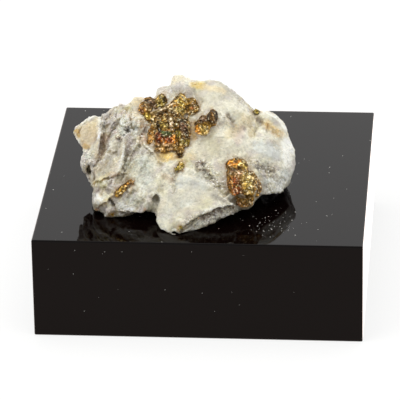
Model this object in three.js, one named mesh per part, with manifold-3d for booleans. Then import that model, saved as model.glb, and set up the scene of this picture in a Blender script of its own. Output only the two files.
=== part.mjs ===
// Chalcopyrite on quartz: a hand-size piece of white vein quartz with brassy, tarnished
// chalcopyrite crystals on its front, resting on a square black display block.
// Millimetres, +Z up. The origin is the middle of the block's underside, +X is to the right
// of somebody who faces the crystals, and +Y runs away from them.

import * as THREE from 'three';
import { ConvexGeometry } from 'three/addons/geometries/ConvexGeometry.js';
import { mergeVertices } from 'three/addons/utils/BufferGeometryUtils.js';
import Module from 'manifold-3d';

const wasm = await Module();
wasm.setup();

// Driving dimensions
const blockSide = 60;
const blockHeight = 19.2;
const blockArris = 0.3;
const restGap = 0.02;
const socketGap = 0.32;
const stoneLift = blockHeight + restGap;
const weld = 1e-3;

// The landmarks of the stone are given as somebody sees them who looks at it from in front
// and a little above: millimetres to the right and up, across the sight line through aim.
const viewTurn = THREE.MathUtils.degToRad(4.69);
const viewRise = THREE.MathUtils.degToRad(25.13);
const viewRoll = THREE.MathUtils.degToRad(-0.92);
const viewDistance = 712.8;
const aim = new THREE.Vector3(-1.68, 0, 13.8);

// The stone's front leans back in one rough plane: its depth is faceFoot at the height of
// the toe, and grows by faceLean for every millimetre further up.
const toeUp = -6.76;
const faceFoot = -27;
const faceLean = 0.893;

const toViewer = new THREE.Vector3(
  Math.sin(viewTurn) * Math.cos(viewRise),
  -Math.cos(viewTurn) * Math.cos(viewRise),
  Math.sin(viewRise),
);
const level = new THREE.Vector3(Math.cos(viewTurn), Math.sin(viewTurn), 0);
const across = level.clone();
across.applyAxisAngle(toViewer, viewRoll);
const upward = toViewer.clone().cross(across);
const eye = aim.clone().addScaledVector(toViewer, viewDistance);

function seen(right, up, depth) {
  const through = aim.clone().addScaledVector(across, right).addScaledVector(upward, up);
  const reach = (depth - eye.y) / (through.y - eye.y);
  return eye.clone().lerp(through, reach);
}

// The depth of the rough plane of the front, and a point a given distance behind it
function faceDepth(up) {
  return faceFoot + faceLean * (up - toeUp);
}

function onFace(right, up, behind) {
  return seen(right, up, faceDepth(up) + behind);
}

function middleOf(landmarks) {
  return [0, 1].map((i) => landmarks.reduce((sum, p) => sum + p[i], 0) / landmarks.length);
}

function drawnIn([right, up], middle, share) {
  return [middle[0] + (right - middle[0]) * share, middle[1] + (up - middle[1]) * share];
}

// Booleans
function toSolid(geometry) {
  const bare = geometry.clone();
  bare.deleteAttribute('normal');
  bare.deleteAttribute('uv');
  const merged = mergeVertices(bare, weld);
  return new wasm.Manifold(new wasm.Mesh({
    numProp: 3,
    vertProperties: Float32Array.from(merged.getAttribute('position').array),
    triVerts: Uint32Array.from(merged.getIndex().array),
  }));
}

function toGeometry(solid) {
  const mesh = solid.getMesh();
  const geometry = new THREE.BufferGeometry();
  geometry.setAttribute('position', new THREE.BufferAttribute(mesh.vertProperties, 3));
  geometry.setIndex(new THREE.BufferAttribute(mesh.triVerts, 1));
  geometry.computeVertexNormals();
  return geometry;
}

function hull(points) {
  return toSolid(new ConvexGeometry(points));
}

function join(solids) {
  return solids.reduce((whole, next) => whole.add(next));
}

// The largest body of a solid, without the crumbs that a cut leaves loose
function mainBody(solid) {
  return solid.decompose().reduce((big, next) => (next.volume() > big.volume() ? next : big));
}

// One lump of quartz: rim and crest points on the front as [right, up, behind], and the
// same ring again, drawn in towards its middle, further back along the sight lines
const lumpThick = 3.4;
const lumpTaper = 0.6;

function lump(points, thick = lumpThick, drawIn = lumpTaper) {
  const middle = middleOf(points);
  const corners = [];
  for (const [right, up, behind] of points) {
    corners.push(onFace(right, up, behind));
    corners.push(onFace(...drawnIn([right, up], middle, drawIn), behind + thick));
  }
  return hull(corners);
}

// A lump given by its corners in plain X, Y, Z
function hewn(corners) {
  return hull(corners.map((corner) => new THREE.Vector3(...corner)));
}

// Front of the stone, each lump by its landmarks
const frontLumps = {
  mainFace: lump([
    [-8.5, 18.5, 3.4], [-4.5, 22.2, 1.6], [0.5, 22.4, 1.2], [3.6, 22.5, 1.8], [5.2, 21.6, 2.6],
    [6.8, 20.1, 3.4], [8.2, 18.9, 4.2], [9.6, 17.7, 5.2], [10.4, 13.5, 4.4], [10.6, 9, 3.0],
    [9.8, 4.5, 2.2], [7.0, 0.6, 1.6], [3, -0.6, 0.8], [-4, -1, 0.8], [-8.2, 1, 1.3],
    [-10.8, 6, 1.8], [-11.5, 12, 2.2], [-10.5, 16, 2.8], [0, 13, 0.9], [4.4, 9, 1.2],
    [-3, 5, 0.9], [2, 18.5, 1.0],
  ], 6, 0.75),
  belly: lump([
    [-8.2, 5.5, 0.9], [-6, 8.8, 0.6], [-1, 9.8, 0.6], [1.4, 7.6, 0.6], [0.2, 4.6, 0.2],
    [-4, 2.4, 0.2], [-7.6, 2.8, 0.7], [-3.4, 6.4, -0.3],
  ]),
  rightCheek: lump([
    [1.2, 8.2, 0.9], [4.6, 8.8, 0.9], [9, 9.6, 2.2], [9.4, 13.4, 3.0], [6, 14.4, 1.6],
    [2.6, 12.6, 0.6], [5.6, 11.2, 0.5],
  ]),
  centreBrow: lump([
    [0.4, 12, 0.6], [3.4, 13.4, 0.7], [4.8, 16.4, 0.9], [3.8, 19, 0.9], [0.4, 18.2, 0.4],
    [-0.6, 15, 0.2], [2.2, 15.8, 0.0],
  ]),
  lowRight: lump([
    [0.9, 7, 0.8], [4.4, 7.6, 1.0], [4.9, 2.4, 0.9], [3.4, 1.6, 0.6], [1.8, 4, 0.4],
    [3.2, 5.2, 0.3],
  ]),
  leftShelf: lump([
    [-12.4, 9.6, 1.2], [-9.6, 10.4, 0.8], [-7.8, 7.6, 0.5], [-9.2, 4.4, 0.4], [-12.6, 4.8, 0.8],
    [-10.4, 7.4, 0.0],
  ]),
  leftBed: lump([
    [-22, 10, 3.6], [-21.6, 12, 3.6], [-19, 13, 2.4], [-18.4, 6, 2.2], [-20, 3.6, 3.4],
    [-22, 6.4, 3.8],
  ]),
  rightLobe: lump([
    [11, 17.1, 5.2], [12.5, 16.8, 5.8], [14.2, 15.9, 6.8], [15.6, 14.6, 7.8], [16.6, 12.5, 8.4],
    [17.2, 10.8, 8.6], [17.9, 9, 8.8], [18.1, 6.8, 8.8], [17.3, 4.5, 10], [16.6, 2.4, 9.2],
    [15, 1.1, 7.0], [12.2, 0.9, 4.8], [10.2, 0.6, 3.4], [9.6, 15.5, 4.6], [9.2, 10, 2.5],
    [9.2, 5, 2.1], [12.6, 9.4, 3.2], [13.2, 5, 3.8], [10.8, 13, 3.4],
  ], 5, 0.7),
  lobeRim: lump([
    [10.8, 17.2, 4.4], [12.5, 16.9, 4.9], [14.3, 16, 5.9], [15.7, 14.7, 7.1], [16.8, 12.4, 8.0],
    [16.3, 11.2, 7.2], [14.7, 12.8, 5.2], [12.6, 14.7, 4.0], [10.8, 16.0, 3.8],
  ], 3, 0.8),
  crownKnob: lump([
    [-8.4, 20.1, 3.4], [-8.1, 20.9, 3.8], [-7.4, 21.3, 3.8], [-6.3, 21.4, 3.4], [-5.6, 21, 2.6],
    [-5.2, 19, 1.9], [-6.5, 18.2, 2.2], [-8, 19, 2.8], [-6.7, 20.2, 1.9],
  ]),
  crownLump: lump([
    [-5.9, 21.6, 2.0], [-5.4, 23, 1.3], [-4.8, 23.5, 1.2], [-3, 23.5, 1.2], [-1.7, 22.9, 1.2],
    [-0.6, 22.4, 1.2], [-0.8, 21, 0.4], [-2.5, 20.2, 0.2], [-5, 20.4, 0.8], [-3.4, 22.2, 0.4],
  ]),
  crownShoulder: lump([
    [-0.8, 22.5, 1.0], [1.6, 22.6, 1.0], [3.6, 22.6, 1.6], [5.0, 21.8, 2.2], [4.4, 19.6, 1.0],
    [1.6, 18.8, 0.1], [-0.6, 19.8, 0.2], [2.2, 21, 0.2],
  ]),
  upperRight: lump([
    [4.6, 21.6, 2.2], [6.9, 20, 3.2], [9.6, 17.6, 4.8], [10.2, 14.6, 4.0], [7.4, 13.6, 1.6],
    [4.4, 15, 0.5], [4.2, 18.6, 0.8], [6.6, 17, 1.0],
  ]),
  granularLeft: lump([
    [-18.2, 15.7, 3.2], [-17.5, 16.5, 3.2], [-16.8, 16.5, 3.0], [-16.3, 14, 1.3], [-16.6, 12.6, 1.0],
    [-18.5, 12.6, 1.8], [-17.4, 14.6, 1.2],
  ]),
  granularMiddle: lump([
    [-16.8, 16.5, 2.9], [-16.4, 17.3, 2.9], [-15.2, 17.9, 2.8], [-13.1, 18.1, 2.6], [-12.4, 16, 1.1],
    [-13.2, 13.6, 0.5], [-15.8, 13, 0.7], [-16.4, 15, 1.2],
  ]),
  granularRight: lump([
    [-13.2, 18.1, 2.8], [-12.7, 18.8, 2.8], [-12.4, 19.3, 2.8], [-10.3, 19.4, 3.0], [-8.4, 19.3, 3.2],
    [-8.6, 16.6, 1.4], [-10.8, 13, 0.9], [-13.2, 14.4, 0.9],
  ]),
  tanSlab: lump([
    [-23.9, 13.3, 3.0], [-23.6, 13.8, 3.0], [-22.9, 14.1, 2.8], [-22.2, 14.7, 2.8], [-21, 15.2, 2.6],
    [-20.2, 15.9, 2.5], [-19.6, 16.05, 2.4], [-18.2, 15.75, 2.1], [-18.6, 14.5, 1.5],
    [-19.1, 11, 1.1], [-20.6, 9.9, 1.6], [-21.4, 9.2, 2.3], [-22.1, 9.4, 2.7], [-22.9, 11.3, 2.9],
  ], 3.4, 0.75),
  leftNodule: lump([
    [-22.1, 9.4, 2.8], [-22.5, 8, 2.8], [-22.8, 6.6, 3.0], [-22.4, 5.8, 3.3], [-21.7, 4.8, 3.5],
    [-21, 3.2, 4.1], [-20.2, 3, 3.8], [-19.5, 4.5, 2.2], [-19.3, 7, 1.6], [-19.6, 9, 1.5],
    [-21, 9.7, 1.9], [-20.8, 8, 1.2], [-21.4, 6.6, 2.0],
  ]),
  slatBed: lump([
    [-19.4, 13.4, 2.2], [-16, 13.8, 1.7], [-12, 13.4, 1.8], [-12.4, 6.4, 1.4], [-14.8, 4.2, 1.5],
    [-19.4, 4.2, 2.0], [-19.8, 9, 2.2], [-15.6, 9.4, 1.0],
  ]),
  slabEdge: lump([
    [-19.4, 13.8, 1.2], [-18.3, 13.6, 1.0], [-18.7, 10, 0.5], [-19.1, 7, 0.7], [-19.9, 7.2, 1.3],
    [-19.6, 11, 1.2],
  ]),
  paleSlat: lump([
    [-16.3, 12.4, 0.5], [-14.3, 12.2, 0.6], [-14.6, 9.5, 0.3], [-15.2, 7.4, 0.2], [-16.9, 6.8, 0.3],
    [-18.4, 6.8, 0.6], [-17.6, 9, 0.4],
  ]),
  sharpSlat: lump([
    [-14.0, 12.3, 0.0], [-12, 13, 1.0], [-10.6, 12.4, 1.3], [-12.2, 10, 1.1], [-13.5, 9, 0.9],
    [-14.7, 8.5, -0.1], [-15.6, 5.2, 0.0], [-14.9, 5.2, 0.8], [-14.2, 10, -0.4],
  ]),
  lowerSlab: lump([
    [-19.8, 7, 1.1], [-18.2, 7.1, 0.4], [-15.6, 6.6, 0.1], [-14.8, 5.2, 0.4], [-15.2, 4.6, 0.8],
    [-17.8, 4.3, 0.7], [-19.8, 4.0, 1.3], [-20, 5.5, 1.6],
  ]),
  greenishLump: lump([
    [-20.4, 3.4, 2.6], [-19, 4.3, 1.1], [-17.6, 4.4, 0.6], [-17.3, 3.2, 0.6], [-18, 2.2, 0.9],
    [-19.8, 1.9, 1.9], [-20.5, 2.6, 2.8], [-18.8, 3.2, 0.7],
  ]),
  lilacLump: lump([
    [-17.6, 3.9, 0.8], [-16.2, 4.4, 0.5], [-15.1, 3.4, 0.5], [-15.7, 2.1, 0.7], [-17, 1.6, 0.9],
    [-17.9, 2.6, 1.0], [-16.5, 3.1, 0.2],
  ]),
  creamLump: lump([
    [-20.4, 1.4, 3.0], [-20.6, -0.5, 3.5], [-20.5, -1.6, 4.2], [-19.9, -2.3, 4.3], [-18.8, -2.4, 3.6],
    [-18, -1.2, 2.0], [-17.1, 0.4, 1.4], [-17.8, 1.4, 1.1], [-19.5, 1.6, 1.9], [-19.2, -0.2, 1.8],
  ]),
  creamRidge: lump([
    [-18.3, -1, 1.9], [-17.6, -1.2, 1.9], [-16.2, 0.6, 0.9], [-15.5, 1.6, 0.6], [-16.2, 2.0, 0.7],
    [-18, 0.6, 1.4], [-17.1, 0.3, 0.8],
  ]),
  lowerLeftBed: lump([
    [-19.8, 4, 2.6], [-14.6, 4, 1.4], [-14.8, -0.6, 2.2], [-15.4, -1.9, 3.0], [-16.8, -1.8, 3.4],
    [-19.4, -1.6, 4.6], [-20.2, 0.6, 3.6],
  ]),
  smallCrystal: lump([
    [-18.7, -2.4, 4.2], [-18.1, -3.35, 4.4], [-16.6, -3.3, 4.2], [-16, -2.2, 3.2], [-16.2, -1.4, 2.6],
    [-17.2, -1.1, 2.5], [-18.1, -1.4, 3.1], [-17.4, -2.1, 2.6],
  ], 2.6),
  lowerMiddle: lump([
    [-16.0, 0.6, 1.2], [-15.6, -1.9, 2.4], [-13.7, -2.1, 1.9], [-11, -2.7, 1.9], [-9.7, -1.8, 1.8],
    [-8.4, 1, 0.9], [-8.8, 4.5, 0.5], [-12, 4.6, 0.4], [-14.5, 3.0, 0.5], [-12.4, 1.2, 0.5],
  ]),
  lowerLip: lump([
    [-15.7, -2.2, 2.8], [-15.3, -3.2, 3.6], [-14.4, -3.1, 3.6], [-12.6, -2.7, 3.2], [-12, -2.4, 2.6],
    [-14.4, -1.9, 2.3],
  ], 2.6),
  innerSlope: lump([
    [-14.6, 5, 1.0], [-13.3, 9.4, 1.1], [-11, 12.4, 1.2], [-9, 9, 0.6], [-7.4, 5.4, 0.2],
    [-8.2, 2, 0.5], [-12, 3.6, 0.6], [-11.2, 7, 0.5],
  ]),
  footFace: lump([
    [-8.2, -2.4, 1.4], [-7.4, 0.8, 0.8], [-5, 4.2, 0.2], [-0.8, 5.6, -0.1], [3.0, 2.8, 0.0],
    [6.6, -0.6, 0.6], [3.4, -1.3, -0.2], [0, -2.7, -0.5], [-1.4, -3.3, -0.5], [-3.8, -6.65, 0.1],
    [-5, -6.7, 0.1], [-6.8, -6.1, 0.4], [-7.8, -5.2, 0.9], [-8.4, -4, 1.2], [-3, -1, -0.7],
  ], 6, 0.75),
  clusterBed: lump([
    [4.8, 7.4, 1.0], [8, 8.2, 1.3], [10.6, 6.2, 2.2], [11.8, 3, 3.2], [11.4, 0.7, 3.8],
    [10.3, -0.3, 3.6], [9.9, -1.1, 3.6], [9.2, -1.65, 3.4], [7.6, -1.85, 2.8], [6.5, -0.9, 1.6],
    [4.8, 1.4, 0.8], [4.6, 5, 0.8], [8, 3, 0.8],
  ]),
  underBand: lump([
    [-1.4, -3.3, -0.3], [3.4, -1.4, 0.0], [7, -0.9, 0.8], [8.2, -1.7, 2.4], [4.6, -3.3, 1.5],
    [1, -5.05, 1.3], [-2.2, -6.15, 0.9],
  ], 6, 0.8),
};

// The inside, the back and the underside, which stand clear of the block but for three feet
const backLumps = {
  core: lump([
    [-19, 12, 3.4], [-19.4, 6, 3.6], [-18.4, 0.4, 4.2], [-15, -0.6, 3.6], [-9, -0.6, 2.8],
    [-6, -3.6, 2.6], [0, -3.2, 2.8], [7, 0.4, 3.4], [14, 2.8, 8], [16, 7, 9.4], [14.5, 13, 8.4],
    [10, 16, 6.4], [4, 20, 3.8], [-3, 21.5, 3], [-8, 19, 4.2], [-14, 16, 4],
  ], 4, 0.8),
  heart: hewn([
    [-19, -4, 29.6], [-15, 0.5, 32], [-8.5, 3, 34.4], [-2, 3.6, 36.4], [4, 3.6, 35.4],
    [8.8, 2.6, 31.2], [12.6, 1.2, 28.2], [13.6, -2.6, 23.6], [-17, -7, 22.6], [-12, 2, 21.6],
    [-6, 6, 21.4], [3, 6.4, 21.4], [9.6, 2.6, 21.6], [0, -17, 21.2], [-12.4, 3.6, 27.6],
    [-5.4, 6.6, 28.6], [2.6, 7, 28.4], [8.4, 4.6, 27.2],
  ]),
  backPeak: hewn([
    [-6.6, 1, 36.2], [-3.4, 0.8, 38.2], [1.5, 1, 36.8], [3.6, 2.4, 33.6], [1, 6.0, 33], [-5, 5.4, 32.6],
    [-8, 3.2, 32], [-2, 5.4, 29],
  ]),
  backLeft: hewn([
    [-20.6, -5.2, 29.4], [-20.2, -7.4, 25.2], [-17, -1.4, 24], [-13, 2.6, 23.4], [-11, 4.6, 26.6],
    [-12.6, 3.6, 30.4], [-17, -0.4, 31], [-18.2, -9, 22.8], [-12, -3, 21.8],
  ]),
  backRight: hewn([
    [14.4, -1.6, 27.6], [15, -3.8, 23.6], [11.2, 2.6, 22.6], [7, 5.8, 23.4], [6.6, 6.4, 26.8],
    [10.8, 3.0, 28.8], [4, 3.6, 30], [12, -6, 22.4],
  ]),
  backFoot: hewn([
    [-9, -3, 18.4], [-2, 1.6, 18.4], [-10, 3.6, 18.4], [-11.4, 0, 20.6], [-3, 5.4, 21.2],
    [-9.6, 5.4, 23], [0, 2, 22.6], [-6, -5, 21.6],
  ]),
  rightFoot: hewn([
    [4.6, -8.6, 18.4], [9, -4.6, 18.4], [7.4, 0.6, 18.4], [3, -2, 18.4], [11, -3, 21.8],
    [8.6, 4, 21.6], [2.2, -9.6, 22.2], [10, -8.4, 22.4],
  ]),
  backLedge: hewn([
    [-6, 7.4, 25.6], [0.6, 8.6, 26.2], [4.6, 7, 24.6], [3.4, 5.6, 21.2], [-5, 5.8, 21.6], [-1, 4, 28],
    [-7, 5.4, 27.4], [1.6, 7.2, 22.4],
  ]),
  backKnob: hewn([
    [1.6, 6.6, 30.4], [5.2, 5.8, 28.2], [7.0, 4.4, 29.4], [4.6, 3.6, 32], [0.8, 4.8, 32.8], [4, 2, 28],
  ]),
  backShelf: hewn([
    [-14.6, 0.6, 31.2], [-9.4, 4.4, 31.6], [-6.8, 6.2, 29.4], [-10.4, 5.4, 26.8], [-15.4, 0.8, 28],
    [-9, 2, 33.4], [-12, -1, 30],
  ]),
};

// Pits and grooves: each runs along landmarks [right, up] on the front
const hollows = [
  { along: [[-20.6, 5.4]], radius: 0.95 },
  { along: [[-20.7, 3.8]], radius: 0.4 },
  { along: [[-15.1, 11.6]], radius: 0.6 },
  { along: [[-17.5, 11.5], [-18.1, 9.8], [-18.7, 7.8]], radius: 0.6 },
  { along: [[-13.4, 9.2], [-13.8, 7.6], [-14.3, 5.9]], radius: 0.5 },
  { along: [[-12.3, 12.4], [-11.3, 10.6], [-12.6, 8.6]], radius: 0.35 },
  { along: [[-17.5, -0.7], [-16.3, -0.3]], radius: 0.4 },
  { along: [[0.3, 7.2], [1.1, 5.4], [2.9, 3.2], [4.6, 1.4]], radius: 0.42 },
  { along: [[10.2, 16.2], [10.7, 14.9], [11.8, 14.3]], radius: 0.5 },
  { along: [[9.9, 14.4], [9.7, 12]], radius: 0.35 },
  { along: [[-5.7, 21.4], [-5.2, 19.8]], radius: 0.3 },
  { along: [[-0.8, 22.2], [-0.9, 20]], radius: 0.3 },
  { along: [[-8.6, 4.2], [-8.2, 1.4], [-8.8, -1.4]], radius: 0.45 },
  { along: [[-16.6, 4.6], [-15.2, 4.9]], radius: 0.35 },
];

// Seeded random numbers, so that the broken grain falls the same way each time
function seeded(start) {
  let state = start;
  return () => {
    state = (state * 1664525 + 1013904223) % 4294967296;
    return state / 4294967296;
  };
}

// Scattered corners round a centre, the makings of a chip or of one end of a groove: they
// wind down a ball by the golden angle, each a little nearer or further than the radius
const chipCorners = 9;
const goldenAngle = 2.4;
const nearest = 0.7;
const spread = 0.5;

function scatter(centre, radius, random) {
  const corners = [];
  for (let i = 0; i < chipCorners; i += 1) {
    const rise = 1 - (2 * (i + 0.5)) / chipCorners;
    const turn = i * goldenAngle + random();
    const flat = Math.sqrt(1 - rise * rise);
    const corner = new THREE.Vector3(Math.cos(turn) * flat, Math.sin(turn) * flat, rise);
    corner.multiplyScalar(radius * (nearest + spread * random()));
    corners.push(corner.add(centre));
  }
  return corners;
}

// Where a straight line from one point towards another first meets a solid
function meets(geometry, from, towards) {
  const mesh = new THREE.Mesh(geometry, new THREE.MeshBasicMaterial({ side: THREE.DoubleSide }));
  const ray = new THREE.Raycaster(from, towards.clone().sub(from).normalize());
  const hits = ray.intersectObject(mesh);
  return hits.length > 0 ? hits[0].point : null;
}

const rough = join([...Object.values(backLumps), ...Object.values(frontLumps)]);
const roughGeometry = toGeometry(rough);

function onStone(right, up) {
  const place = meets(roughGeometry, eye, onFace(right, up, 0));
  if (place === null) {
    throw new Error(`no stone at ${right}, ${up}`);
  }
  return place;
}

// Chalcopyrite crystals: blocky, grown into each other. Each is given by the landmarks of
// its edges and points as [right, up, proud], proud of the stone's surface at its middle. It
// runs on into the stone by sunk, drawn in, and its socket is cut straight in from the front.
const crystalSunk = 1.2;
const crystalTaper = 0.8;
const socketMouth = 1.5;

function bedBehind(landmarks) {
  const [right, up] = middleOf(landmarks);
  return onStone(right, up).y - faceDepth(up);
}

function crystal(landmarks, sunk = crystalSunk) {
  const middle = middleOf(landmarks);
  const bed = bedBehind(landmarks);
  const corners = [];
  for (const [right, up, proud] of landmarks) {
    corners.push(onFace(right, up, bed - proud));
    corners.push(onFace(...drawnIn([right, up], middle, crystalTaper), bed + sunk));
  }
  return hull(corners);
}

// The convex outline round some landmarks, counter-clockwise
function outlineOf(landmarks) {
  const sorted = landmarks.map(([right, up]) => new THREE.Vector2(right, up));
  sorted.sort((a, b) => a.x - b.x || a.y - b.y);
  const chains = [sorted, sorted.toReversed()].map((points) => {
    const chain = [];
    for (const point of points) {
      while (chain.length > 1) {
        const side = chain.at(-1).clone().sub(chain.at(-2));
        if (side.cross(point.clone().sub(chain.at(-1))) > 0) {
          break;
        }
        chain.pop();
      }
      chain.push(point);
    }
    return chain.slice(0, -1);
  });
  return chains.flat();
}

// The same outline with each side moved outwards by a distance
function widened(outline, distance) {
  const outwards = outline.map((corner, i) => {
    const side = outline[(i + 1) % outline.length].clone().sub(corner).normalize();
    return new THREE.Vector2(side.y, -side.x);
  });
  return outline.map((corner, i) => {
    const before = outwards.at(i - 1);
    const mitre = before.clone().add(outwards[i]).divideScalar(1 + before.dot(outwards[i]));
    return corner.clone().addScaledVector(mitre, distance);
  });
}

function socket(landmarks, sunk = crystalSunk) {
  const bed = bedBehind(landmarks);
  const mouth = bed - Math.max(...landmarks.map(([, , proud]) => proud)) - socketMouth;
  const corners = [];
  for (const { x, y } of widened(outlineOf(landmarks), socketGap)) {
    corners.push(onFace(x, y, mouth));
    corners.push(onFace(x, y, bed + sunk + socketGap));
  }
  return hull(corners);
}

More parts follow.
